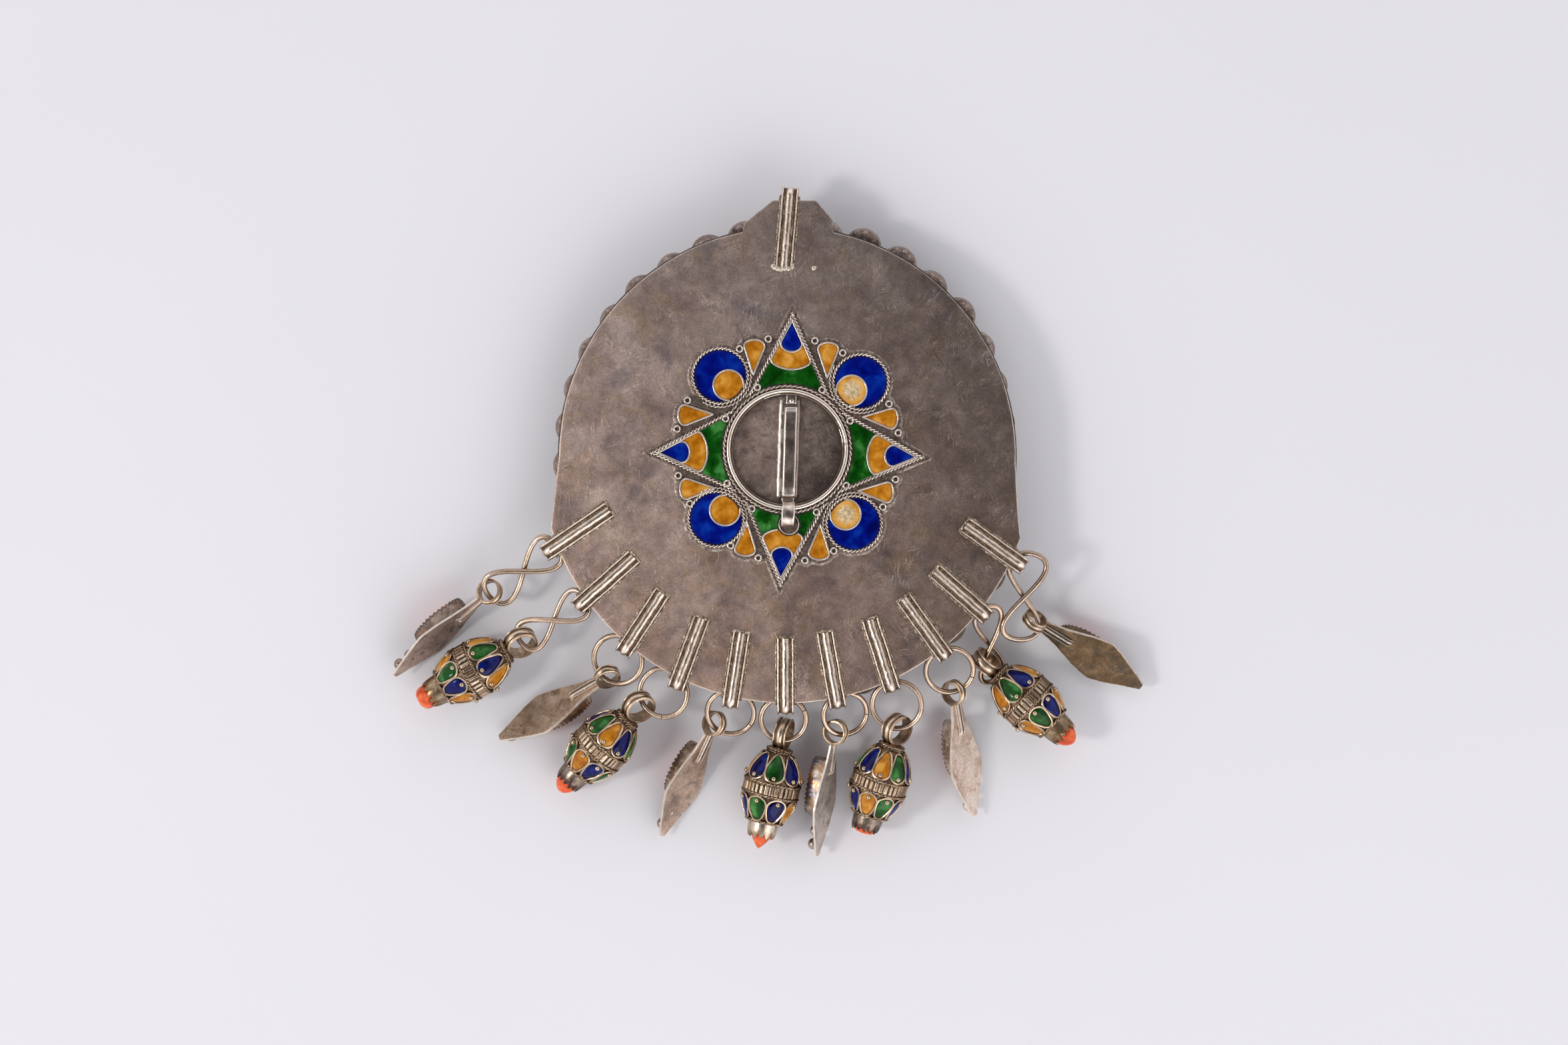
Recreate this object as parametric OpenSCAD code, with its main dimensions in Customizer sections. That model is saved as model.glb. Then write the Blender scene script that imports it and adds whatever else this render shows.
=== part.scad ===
// Round silver breast ornament with enamel, lying face down with its back and its eleven drops to view.
// All sizes are in millimetres. +X is right, +Y is towards the top loop, +Z is out of the back.
// The origin is on the table, under the middle of the pin ring.

/* [Plates] */
// Radius of the round upper outline of the back plate
plate_r = 58.3; // [58:0.1:58.5]
// Radius of the lower edge that carries the hangers
hem_r = 63.2; // [63:0.1:63.3]
// Height of the back plate's outer face above the table
back_z = 15; // [14.9:0.1:15.1]
// Thickness of the back plate
plate_t = 1; // [0.9:0.1:1.1]
// Distance from one rim boss to the next, in degrees
boss_step = 10.2; // [10.1:0.1:10.4]
// Radius of a rim boss
boss_r = 4.8; // [4.5:0.1:4.8]

/* [Hangers] */
// Width of a ribbed hanger strap
strap_w = 4.3; // [4.2:0.1:4.4]
// Thickness of the strap between its ribs
strap_t = 0.4; // [0.35:0.05:0.45]
// Height of a rib above the strap
rib_h = 0.5; // [0.4:0.05:0.5]
// Wire radius of the links
wire_r = 0.7; // [0.6:0.05:0.7]

/* [Rosette] */
// Inner radius of the pin ring
ring_in = 14.4; // [14.4:0.05:14.5]
// Width of the pin ring's half-round wire
ring_w = 1.3; // [1.2:0.05:1.3]
// Distance of the points from the middle of the ring
point_r = 35.4; // [35:0.1:36]
// Radius of a round blue lobe, to the outside of its wire
lobe_r = 7.1; // [7:0.05:7.2]
// Width of a cell wall
wall = 0.45; // [0.4:0.05:0.5]

/* [Pin] */
// Width of the pin's bar
bar_w = 3.4; // [3.2:0.1:3.5]
// Width of the band under the bar
band_w = 4.9; // [4.8:0.1:5]
// Radius of the plain boss in front of the ring
boss_disc_r = 14.2; // [14:0.05:14.2]

/* [Drops] */
// Greatest radius of an egg drop
egg_r = 7.1; // [7:0.05:7.1]
// Half the length of the egg's oval
egg_half = 10.5; // [10.4:0.1:10.6]
// Length of a lozenge plate
lozenge_l = 30; // [29.6:0.1:30.2]
// Greatest width of a lozenge plate
lozenge_w = 13; // [12.6:0.1:13.2]

/* [Hidden] */
gap = 0.05;
plate_c = [0, -1.6];
front_edge_z = back_z - 3.35;
front_plate_top = back_z - plate_t - gap;
front_plate_t = 1;
front_hole_r = 21;
border_in = 52;
border_out = plate_r + 0.3;
border_hem = 60;

// Hangers, left to right round the lower edge. Columns: root x, root y, tip x, tip y.
ROOT_X = 0;
ROOT_Y = 1;
TIP_X = 2;
TIP_Y = 3;
hangers = [
    [-45.5, -15.3, -62.5, -26.9],
    [-39.2, -27.4, -54.2, -40.7],
    [-32.0, -36.6, -42.4, -52.5],
    [-21.9, -43.1, -28.8, -61.6],
    [-11.7, -46.8, -14.7, -66.3],
    [-0.5, -48.2, -0.5, -67.8],
    [9.6, -46.7, 13.1, -66.4],
    [21.1, -43.4, 27.1, -62.2],
    [29.7, -38.0, 41.0, -53.7],
    [37.8, -31.0, 51.6, -43.3],
    [45.5, -19.3, 60.9, -30.3]
];
bail_row = [-1.5, 46.3, 0.9, 67.3];
bail_under = 4.6;
hanger_under = 7.6;
bend_in = (back_z - front_edge_z) / 2;
bend_z = front_edge_z + bend_in - gap;
bend_out = bend_in + strap_t + rib_h;

// Round links. Columns: number, where the wire passes the hanger x, y, ring radius, heading of the ring's
// middle, slope down along that heading, roll about it.
L_NO = 0;
L_X = 1;
L_Y = 2;
L_R = 3;
L_HEAD = 4;
L_SLOPE = 5;
L_ROLL = 6;
round_links = [
    [3, -39.9, -48.8, 6.4, 234.6, 18.7, 3.7],
    [4, -27.5, -57.7, 6.3, 226.7, 12.9, 6.8],
    [5, -13.9, -61.7, 6.0, 263.2, 20.8, 1.7],
    [6, -0.7, -63.4, 5.8, 267, 16, 0],
    [7, 12.4, -62.95, 5.7, 297.1, 22.5, -3],
    [8, 25.7, -59.6, 6.3, 292, 11.8, 10.5],
    [9, 39.2, -51.2, 6.1, 294.3, 19.5, 6.1]
];
// Figure-eight links. The first columns match; the last two are half width and where the wire passes the hanger.
L_HALF_W = 7;
L_AT = 8;
eight_links = [
    [1, -58.75, -24.45, 11.4, 215.9, 13.1, -6.4, 4.3, 0],
    [2, -51.5, -38.0, 10.5, 213.3, 12.8, 2.5, 3.9, 0],
    [10, 48.2, -42.55, 11.2, 275.5, 29.3, -25.2, 3.6, -33],
    [11, 56.6, -28.7, 11.4, 264.8, 11.3, -10.5, 4.9, -40]
];
passage_z = back_z - 2.2;
eight_lift = wire_r + 0.12;
eight_steps = 40;
wire_sides = 6;

// Drops. Columns: number, loop middle x, y, z, heading, pitch down, roll.
D_NO = 0;
D_X = 1;
D_Y = 2;
D_Z = 3;
D_HEAD = 4;
D_PITCH = 5;
D_ROLL = 6;
D_END = 7;
lozenges = [
    [1, -76.55, -36.45, 8, 221, 5.6, -65],
    [3, -46.2, -58.2, 9.1, 209.8, 10.7, 44],
    [5, -18.7, -70.2, 9.2, 244.8, 11.3, -51.9],
    [7, 12.35, -72.4, 9.5, 261.7, 10, -66],
    [9, 42.8, -62.3, 8.75, 279.7, 9.8, -47.8],
    [11, 63.65, -43.85, 8.4, 328.4, 8.3, 32.2]
];
// The last column of an egg is how far its coral tip reaches from the loop's middle.
eggs = [
    [2, -68.5, -49.4, 8.27, 210, 2.8, 43.6, 30.6],
    [4, -38.1, -65.8, 10.35, 226.6, 10.4, 46.9, 30.8],
    [6, -1.0, -72.7, 8.3, 257.6, 3, 15, 30.6],
    [8, 28.1, -71.7, 9.8, 252.4, 8.3, 43.8, 28.4],
    [10, 51.2, -54.6, 7.05, 317.5, -2, 17.5, 30.6]
];
// Enamel cells, one egg a row in the order above. Columns: colours of the upper row going round, how far its
// first cell is turned from straight up as the egg lies, then the same for the lower row.
UP_PAINT = 0;
UP_TURN = 1;
LOW_PAINT = 2;
LOW_TURN = 3;
egg_cells = [
    ["GYBGYBGYB", 30, "GYBGYBGYB", 25],
    ["GBYGBYGBY", 43, "GBYGBYGBY", 54],
    ["GBYBGBYB", 0, "GBYBGBYB", 25],
    ["YBGYBGYBG", 6, "YBGYBGYBG", 15],
    ["GYBGYBGYB", 10, "GYBGYBGYB", 10]
];

silver = "#9c918a";
bright_silver = "#c9bda8";
blue = "#10189c";
yellow = "#d99424";
green = "#1f6b30";
coral = "#d9492c";

// Points on a circle arc, from angle a to angle b
function arc(c, r, a, b, n) = [for (i = [0:n]) c + r * [cos(a + (b - a) * i / n), sin(a + (b - a) * i / n)]];
function polar(r, a) = r * [cos(a), sin(a)];
function unit(v) = v / norm(v);

// A drop outline that starts at its tip, the origin, and widens along +X to a rounded far end. Its two corners
// have the radius corner, and the end between them is an arc that leaves them at the angle turn. The outline
// moves out by grow on every side.
function cell_outline(far, half, corner, turn, grow) =
    let (
        end_r = corner + (half - corner) / sin(turn),
        c = [far - end_r + (end_r - corner) * cos(turn), half - corner],
        lean = atan2(c[1], c[0]) + asin(corner / norm(c)),
        end_c = [far - end_r, 0]
    )
    concat(
        [[-grow / sin(lean), 0]],
        arc([c[0], -c[1]], corner + grow, -lean - 90, -turn, 6),
        arc(end_c, end_r + grow, -turn, turn, 10),
        arc(c, corner + grow, turn, lean + 90, 6)
    );

/* Plates and hangers */

left_shoulder = [-60.5, -20.5];
right_shoulder = [59.5, -22.3];
tab_outline = [[-11.4, 54], [-11.2, 57.7], [-3.7, 63.7], [7.3, 63.7], [11.6, 58.7], [11.5, 54]];

module hem_sector(r) {
    intersection() {
        translate(plate_c) circle(r = r, $fn = 200);
        polygon([left_shoulder, right_shoulder, [80, -90], [-80, -90]]);
    }
}

module back_outline() {
    translate(plate_c) circle(r = plate_r, $fn = 200);
    hem_sector(hem_r);
    polygon([[0, -24], right_shoulder, [59.1, -18], [57.9, 3], [40, 20]]);
    polygon([[0, -24], [-40, 20], [-58.2, 0], left_shoulder]);
    polygon(tab_outline);
}

// Cross-section of a ribbed strap: a flat back at height 0 and three rounded ribs
function strap_section(w) =
    let (rib_r = w / 7.2, step = w / 3)
    concat(
        [[w / 2, 0], [w / 2, strap_t]],
        [for (k = [1, 0, -1]) for (i = [0:5])
            [k * step + rib_r * cos(180 * i / 5), strap_t + rib_h * sin(180 * i / 5)]],
        [[-w / 2, strap_t], [-w / 2, 0]]
    );

module strap_leg(w, l) {
    rotate([90, 0, 90]) linear_extrude(l) polygon(strap_section(w));
}

// A strap that lies on the plate, bends round its edge and comes back on the front
module hanger(row, w, under) {
    root = [row[ROOT_X], row[ROOT_Y]];
    tip = [row[TIP_X], row[TIP_Y]];
    run = norm(tip - root) - bend_out;
    section = [for (p = strap_section(w)) [bend_in + p[1], p[0]]];
    translate([root[0], root[1], 0])
        rotate([0, 0, atan2(tip[1] - root[1], tip[0] - root[0])]) {
            translate([0, 0, back_z - gap]) strap_leg(w, run);
            translate([run, 0, bend_z])
                rotate([90, 0, 0]) rotate([0, 0, -90])
                    rotate_extrude(angle = 180, $fn = 48) polygon(section);
            translate([run, 0, front_edge_z - gap])
                rotate([0, 180, 0]) strap_leg(w, under);
        }
}

hinge_hole = [0.4, -19.1];
hinge_hole_r = 2.4;

module back_plate() {
    color(silver) union() {
        translate([0, 0, back_z - plate_t])
            difference() {
                linear_extrude(plate_t) back_outline();
                translate([0, 0, -1]) cylinder(r = ring_in + 0.1, h = plate_t + 2, $fn = 120);
                translate([hinge_hole[0], hinge_hole[1], -1]) cylinder(r = hinge_hole_r, h = plate_t + 2, $fn = 48);
            }
        for (row = hangers) hanger(row, strap_w, hanger_under);
        hanger(bail_row, strap_w, bail_under);
    }
}

// One rim boss, a low button hanging from the front border
module rim_boss() {
    neck = 0.6;
    height = 3.2;
    side = [for (i = [0:8]) [boss_r * cos(90 * i / 8) ^ 0.8, -neck - height / 2 - height / 2 * sin(90 * i / 8)]];
    shoulder = [for (i = [0:4]) [boss_r - 1.2 + 1.2 * sin(90 * i / 4), -neck - height / 2 * (1 - cos(90 * i / 4))]];
    rotate_extrude($fn = 48)
        polygon(concat([[0, 0.1], [boss_r - 1.6, 0.1], [boss_r - 1.6, -neck]], shoulder, side));
}

boss_first = 9;
// How far out each rim boss reaches, going round the upper edge from the right.
boss_reach = [59.1, 59.6, 60.5, 61.3, 61, 61.5, 61.9, 61.6, 61.5, 61.4, 60.6, 60.3, 60.5, 60.1, 60.2, 60.1, 60, 60.2];
// Thin leaves of the front border that show past the lower edge. Columns: bearing from the plate's middle, reach.
hem_leaves = [[288.6, 63.9], [313.4, 64.2], [329.4, 63.9]];
leaf_t = 0.35;
leaf_r = 5;

module front_plate() {
    color(silver) union() {
        difference() {
            union() {
                translate([0, 0, front_plate_top - front_plate_t]) linear_extrude(front_plate_t) front_outline();
                translate([0, 0, front_edge_z])
                    linear_extrude(front_plate_top - front_edge_z)
                        difference() {
                            front_outline();
                            translate(plate_c) circle(r = border_in, $fn = 160);
                        }
            }
            translate([0, 0, front_edge_z - 1]) cylinder(r = front_hole_r, h = 5, $fn = 120);
        }
        for (row = hem_leaves)
            translate(concat(plate_c, [front_plate_top - leaf_t]) + concat(polar(row[1] - leaf_r, row[0]), [0]))
                cylinder(r = leaf_r, h = leaf_t, $fn = 48);
        for (i = [0:len(boss_reach) - 1])
            translate(concat(plate_c + polar(boss_reach[i] - boss_r, boss_first + i * boss_step), [front_edge_z]))
                rim_boss();
    }
}

module front_outline() {
    translate(plate_c) circle(r = border_out, $fn = 200);
    hem_sector(border_hem);
    translate([0, -0.3]) polygon(tab_outline);
}

/* Rosette */

base_t = 0.3;
base_z = back_z + gap;
cell_z = base_z + base_t;
cell_h = 0.7;
enamel_h = 0.5;
rope_w = 0.85;
point_half = 26;
point_bearings = [-3.4, 87.8, 181.4, 267];
lobe_bearings = [42.6, 132.5, 224.2, 311.9];
lobe_at = 25.4;
disc_at = 22.2;
disc_r = 4.1;
side_tip_r = 20.9;
side_end_r = 29.2;
side_tip_turn = 26.8;
side_end_turn = 18.8;
eye_r = 0.95;
green_in = 16.9;

// Outline of a point, its sides moved out by grow
module point_outline(grow) {
    base = 12;
    tip = point_r + grow / sin(point_half);
    half = (tip - base) * tan(point_half);
    polygon([[tip, 0], [base, half], [base, -half]]);
}

// The bell-shaped yellow field of a point, whose rounded edge faces the ring
module bell_outline(grow) {
    translate([33.3, 0]) rotate([0, 0, 180]) polygon(cell_outline(12.9, 5, 1.3, 32, grow));
}

module blue_drop(grow) {
    translate([32.9, 0]) rotate([0, 0, 180]) polygon(cell_outline(8, 2.7, 1.7, 40, grow));
}

module side_drop(turn, grow) {
    tip = polar(side_tip_r, turn * side_tip_turn);
    end = polar(side_end_r, turn * side_end_turn);
    translate(tip) rotate([0, 0, atan2(end[1] - tip[1], end[0] - tip[0])])
        polygon(cell_outline(norm(end - tip), 2.6, 1.3, 30, grow));
}

module at_points() {
    for (a = point_bearings) rotate([0, 0, a]) children();
}

module at_lobes() {
    for (a = lobe_bearings) rotate([0, 0, a]) children();
}

module hinge_clear(r) {
    translate(hinge_hole) circle(r = r, $fn = 48);
}

module rosette_base() {
    difference() {
        union() {
            circle(r = ring_in + ring_w + rope_w + 1.5, $fn = 120);
            at_points() {
                point_outline(0.2);
                for (turn = [1, -1]) side_drop(turn, 0.8);
            }
            at_lobes() translate([lobe_at, 0]) circle(r = lobe_r + 0.5, $fn = 72);
        }
        circle(r = ring_in, $fn = 120);
        hinge_clear(hinge_hole_r + 0.1);
    }
}

module wall_between() {
    difference() {
        children(0);
        children(1);
    }
}

module rosette_walls() {
    difference() {
        union() {
            at_points() {
                wall_between() { point_outline(0); point_outline(-rope_w); }
                wall_between() { bell_outline(wall / 2); bell_outline(-wall / 2); }
                wall_between() { blue_drop(wall / 2); blue_drop(-wall / 2); }
                for (turn = [1, -1]) wall_between() { side_drop(turn, wall / 2); side_drop(turn, -wall / 2); }
            }
            at_lobes() {
                translate([lobe_at, 0])
                    wall_between() {
                        circle(r = lobe_r, $fn = 72);
                        circle(r = lobe_r - rope_w, $fn = 72);
                    }
                intersection() {
                    translate([disc_at, 0])
                        wall_between() {
                            circle(r = disc_r, $fn = 48);
                            circle(r = disc_r - wall, $fn = 48);
                        }
                    translate([lobe_at, 0]) circle(r = lobe_r - 0.1, $fn = 72);
                }
            }
        }
        circle(r = ring_in + ring_w, $fn = 120);
        hinge_clear(hinge_hole_r + 0.6);
    }
}

module rosette_frame() {
    rope_mid = ring_in + ring_w + rope_w / 2;
    color(bright_silver) union() {
        translate([0, 0, base_z]) linear_extrude(base_t) rosette_base();
        translate([0, 0, cell_z - 0.02]) linear_extrude(cell_h) rosette_walls();
        translate([0, 0, cell_z - 0.02]) pin_ring();
        translate([0, 0, cell_z - 0.02])
            linear_extrude(cell_h)
                difference() {
                    circle(r = rope_mid + rope_w / 2, $fn = 120);
                    circle(r = rope_mid - rope_w / 2, $fn = 120);
                    hinge_clear(hinge_hole_r + 0.6);
                }
        for (a = point_bearings) for (turn = [1, -1]) {
            eye(polar(28.6, a + turn * 12));
            eye(polar(28.4, a + turn * 27.6));
            eye(polar(green_in + 0.7, a + turn * 28));
        }
    }
}

// The half-round ring that the pin turns on
module pin_ring() {
    height = 1.15;
    mid = ring_in + ring_w / 2;
    rotate_extrude($fn = 120)
        polygon([for (i = [0:8]) [mid + ring_w / 2 * cos(22.5 * i), height * sin(22.5 * i)]]);
}

// A small wire ring beside the cells
module eye(at) {
    translate([at[0], at[1], cell_z - 0.02])
        linear_extrude(cell_h - 0.1)
            difference() {
                circle(r = eye_r, $fn = 24);
                circle(r = eye_r - 0.35, $fn = 24);
            }
}

module in_cells() {
    translate([0, 0, cell_z + gap]) linear_extrude(enamel_h) children();
}

module enamel_blue() {
    inset = wall / 2 + gap;
    color(blue) in_cells() {
        at_points() blue_drop(-inset);
        at_lobes() difference() {
            translate([lobe_at, 0]) circle(r = lobe_r - rope_w - gap, $fn = 72);
            translate([disc_at, 0]) circle(r = disc_r + gap, $fn = 48);
        }
    }
}

module enamel_yellow() {
    inset = wall / 2 + gap;
    color(yellow) in_cells() {
        difference() {
            at_points() difference() {
                bell_outline(-inset);
                blue_drop(inset);
            }
            hinge_clear(hinge_hole_r + 0.6 + gap);
        }
        at_points() for (turn = [1, -1]) side_drop(turn, -inset);
        at_lobes() intersection() {
            translate([disc_at, 0]) circle(r = disc_r - wall - gap, $fn = 48);
            translate([lobe_at, 0]) circle(r = lobe_r - rope_w - gap, $fn = 72);
        }
    }
}

module enamel_green() {
    inset = wall / 2 + gap;
    color(green) in_cells() difference() {
        at_points() difference() {
            intersection() {
                point_outline(-rope_w - gap);
                translate([0, -8.2]) square([26, 16.4]);
            }
            bell_outline(inset);
        }
        circle(r = green_in, $fn = 120);
        hinge_clear(hinge_hole_r + 0.6 + gap);
        for (a = point_bearings) for (turn = [1, -1])
            translate(polar(green_in + 0.7, a + turn * 28)) circle(r = eye_r + gap, $fn = 24);
    }
}

/* Pin, hinged on the ring */

hinge_y = -16.5;
hinge_z = back_z - 0.1;
eye_in = 2.5;
eye_out = 3.25;
eye_w = 3.1;
disc_top = back_z - 2.5;
disc_t = 0.8;
band_t = 0.6;
bar_t = 1.5;
bar_top_y = 11;
bar_low_y = -12;
tip_w = 2.7;
tip_y = 15.4;

module pin() {
    band_z = disc_top - gap;
    color(bright_silver) union() {
        translate([0, 0, disc_top - disc_t]) cylinder(r = boss_disc_r, h = disc_t, $fn = 120);
        translate([-band_w / 2, bar_low_y - 0.6, band_z]) cube([band_w, 13.6 - bar_low_y + 0.6, band_t + gap]);
        translate([-bar_w / 2, bar_low_y, band_z]) cube([bar_w, bar_top_y - bar_low_y, band_t + bar_t]);
        translate([-tip_w / 2, bar_top_y - 1, band_z]) cube([tip_w, tip_y - bar_top_y + 1, band_t + 0.45]);
        translate([-eye_w / 2, hinge_y + 2.3, band_z]) cube([eye_w, bar_low_y - hinge_y - 1.9, band_t + gap]);
        translate([-eye_w / 2, hinge_y, hinge_z])
            rotate([0, 90, 0])
                difference() {
                    cylinder(r = eye_out, h = eye_w, $fn = 64);
                    translate([0, 0, -1]) cylinder(r = eye_in, h = eye_w + 2, $fn = 64);
                }
    }
}

// The hollow boss in front of the ring, which stands on the table with its flat top
module pin_boss() {
    rim_z = disc_top - disc_t - gap;
    shell = 0.8;
    flat_r = 6;
    step_r = boss_disc_r - 1.4;
    step_z = rim_z - 1;
    dome_z = rim_z - 2.6;
    function dome(inset) = [for (i = [0:10])
        [flat_r + (step_r - inset - flat_r) * cos(9 * i), dome_z - (dome_z - inset) * sin(9 * i)]];
    outer = concat([[boss_disc_r, rim_z], [boss_disc_r, step_z], [step_r, step_z]], dome(0), [[0, 0]]);
    inner = concat([[0, shell]], [for (i = [10:-1:0]) dome(shell)[i]], [[step_r - shell, rim_z]]);
    color(silver) rotate_extrude($fn = 120) polygon(concat(outer, inner));
}

/* Links */

function link_forward(row) =
    let (h = row[L_HEAD], s = row[L_SLOPE])
    [cos(s) * cos(h), cos(s) * sin(h), -sin(s)];

module round_link(row) {
    color(bright_silver)
        translate([row[L_X], row[L_Y], passage_z])
            rotate([row[L_ROLL], row[L_SLOPE], row[L_HEAD]])
                translate([row[L_R], 0, 0])
                    rotate_extrude($fn = 96) translate([row[L_R], 0]) circle(r = wire_r, $fn = 32);
}

// A wire bent to a figure eight, lifted over itself where it crosses
module eight_link(row) {
    f = link_forward(row);
    flat = [-sin(row[L_HEAD]), cos(row[L_HEAD]), 0];
    side = cos(row[L_ROLL]) * flat + sin(row[L_ROLL]) * cross(f, flat);
    up = cross(f, side);
    function place(t) = -row[L_R] * cos(t) * f + row[L_HALF_W] * sin(2 * t) * side + eight_lift * sin(t) * up;
    function travel(t) = unit(row[L_R] * sin(t) * f + 2 * row[L_HALF_W] * cos(2 * t) * side + eight_lift * cos(t) * up);
    centre = [row[L_X], row[L_Y], passage_z] - place(row[L_AT]);
    points = [for (i = [0:eight_steps - 1])
        let (t = 360 * i / eight_steps, d = travel(t), u = unit(cross(d, up)), v = cross(d, u))
        for (k = [0:wire_sides - 1])
            centre + place(t) + wire_r * (cos(360 * k / wire_sides) * u + sin(360 * k / wire_sides) * v)];
    faces = [for (i = [0:eight_steps - 1]) for (k = [0:wire_sides - 1])
        let (j = (i + 1) % eight_steps, n = (k + 1) % wire_sides)
        [i * wire_sides + k, j * wire_sides + k, j * wire_sides + n, i * wire_sides + n]];
    color(bright_silver) polyhedron(points = points, faces = faces, convexity = 6);
}

/* Drops */

// Puts a drop, made along +X from its loop's middle with its back up, where it lies
module lay(row) {
    translate([row[D_X], row[D_Y], row[D_Z]])
        rotate([0, 0, row[D_HEAD]]) rotate([0, row[D_PITCH], 0]) rotate([row[D_ROLL], 0, 0]) children();
}

// A ribbed ribbon bent to a loop whose hole runs along Y
module ribbon_loop(r_in, t, w, rib) {
    section = concat(
        [[r_in, w / 2], [r_in, -w / 2], [r_in + t, -w / 2]],
        [for (k = [-1, 0, 1]) for (i = [0:4])
            [r_in + t + rib * sin(45 * i), k * w / 3 - w / 7 * cos(45 * i)]],
        [[r_in + t, w / 2]]
    );
    rotate([90, 0, 0]) rotate_extrude($fn = 72) polygon(section);
}

plate_top = 3;
lozenge_t = 0.7;
lozenge_wide_at = 0.57;
bezel_from = 7;
bezel_to = 23;
bezel_w = 7.4;
bezel_h = 4.2;
bezel_t = 0.45;

function lozenge_outline() =
    let (x0 = plate_top, x1 = plate_top + lozenge_l, xw = plate_top + lozenge_l * lozenge_wide_at, half = lozenge_w / 2)
    [[x0, 1.9], [x0 + 5, 2.9], [xw - 5, half - 1.1], [xw, half], [xw + 4, half - 1.4], [x1 - 1.2, 1.5], [x1, 1],
     [x1, -1], [x1 - 1.2, -1.5], [xw + 4, 1.4 - half], [xw, -half], [xw - 5, 1.1 - half], [x0 + 5, -2.9], [x0, -1.9]];

// A pointed oval, narrower by inset on each side
function leaf_oval(inset, n = 28) =
    let (mid = (bezel_from + bezel_to) / 2, a = (bezel_to - bezel_from) / 2 - inset, b = bezel_w / 2 - inset)
    [for (i = [0:n - 1]) let (t = 360 * i / n) [mid + a * cos(t), b * sin(t) * (1 + 0.12 * cos(t))]];

module lozenge(row) {
    ball_r = 1.5;
    strip_w = 2.2;
    strip_l = 8;
    loop_in = 2.75;
    color(silver) lay(row) union() {
        translate([0, 0, -lozenge_t / 2]) linear_extrude(lozenge_t) polygon(lozenge_outline());
        ribbon_loop(loop_in, 0.4, strip_w, 0.25);
        translate([plate_top, -strip_w / 2, 0]) cube([strip_l, strip_w, lozenge_t / 2 + 0.5]);
        translate([0, 0, -lozenge_t / 2 - bezel_h])
            linear_extrude(bezel_h + 0.1)
                difference() {
                    polygon(leaf_oval(0));
                    polygon(leaf_oval(bezel_t));
                }
        for (x = [26.6, 30.2]) translate([x, 0, -lozenge_t / 2 - ball_r * 0.7]) sphere(r = ball_r, $fn = 32);
    }
}

module lozenge_coral(row) {
    rise = 0.9;
    layers = [[0, bezel_h - 0.6], [0.7, bezel_h + 0.3], [1.7, bezel_h + rise]];
    color(coral) lay(row)
        translate([0, 0, -lozenge_t / 2 - gap])
            mirror([0, 0, 1])
                stone(layers);
}

// A cut stone of leaf-shaped steps, each layer narrower than the last
module stone(layers) {
    n = 28;
    base = leaf_oval(bezel_t + gap, n);
    rings = concat(
        [[for (p = base) [p[0], p[1], 0]]],
        [for (row = layers) [for (p = leaf_oval(bezel_t + gap + row[0], n)) [p[0], p[1], row[1]]]]
    );
    last = len(rings) - 1;
    polyhedron(
        points = [for (ring = rings) for (p = ring) p],
        faces = concat(
            [[for (i = [0:n - 1]) i]],
            [for (r = [0:last - 1]) for (i = [0:n - 1])
                [r * n + i, (r + 1) * n + i, (r + 1) * n + (i + 1) % n, r * n + (i + 1) % n]],
            [[for (i = [n - 1:-1:0]) last * n + i]]
        ),
        convexity = 4
    );
}

egg_mid = 14.5;
egg_top = 4.6;
egg_low = 22.6;
band_half = 1.6;
cap_r = 3.8;
cap_end = 27.3;
cap_in = 24.6;
cap_wall = 0.45;

function egg_radius(s) = egg_r * sqrt(1 - pow((s - egg_mid) / egg_half, 2));

// Spins an outline of [distance along the drop, radius] points about X
module spin_x() {
    rotate([0, 90, 0]) rotate([0, 0, 180]) rotate_extrude($fn = 96) children();
}

module egg_body() {
    steps = 9;
    upper = [for (i = [0:steps]) let (s = egg_top + (egg_mid - band_half - egg_top) * i / steps) [egg_radius(s), s]];
    lower = [for (i = [0:steps]) let (s = egg_mid + band_half + (egg_low - egg_mid - band_half) * i / steps) [egg_radius(s), s]];
    collar = [[0, 3.7], [3, 3.7], [3.5, 4.1], [3.2, egg_top]];
    band = [for (i = [0:6]) let (s = egg_mid + band_half * (i / 3 - 1)) [egg_r + (i % 2 == 0 ? 0.35 : 0.1), s]];
    foot = [[4.9, egg_low], [5.1, egg_low + 0.5], [4.7, egg_low + 1], [cap_r, egg_low + 1.1]];
    cap = [[cap_r, 25], [cap_r + 0.25, cap_end], [cap_r + 0.25 - cap_wall, cap_end], [cap_r - cap_wall, 25],
        [cap_r - cap_wall, cap_in], [0, cap_in]];
    spin_x() polygon(concat(collar, upper, band, lower, foot, cap));
}

module egg(row) {
    color(silver) lay(row) union() {
        egg_body();
        ribbon_loop(3.5, 0.4, 3.2, 0.3);
    }
}

module egg_coral(row) {
    r = cap_r - cap_wall - gap;
    from = 26.8;
    rise = row[D_END] - from;
    side = [[0, cap_in + gap], [r, cap_in + gap], [r, from], [r - 0.2, from + 0.26 * rise],
        [r - 0.9, from + 0.58 * rise], [1.3, from + 0.92 * rise], [0, row[D_END]]];
    color(coral) lay(row) spin_x() polygon(side);
}

cell_seat = 0.08;
cell_rise = 0.4;
upper_cell_half = 2.1;
lower_cell_half = 2;

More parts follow.
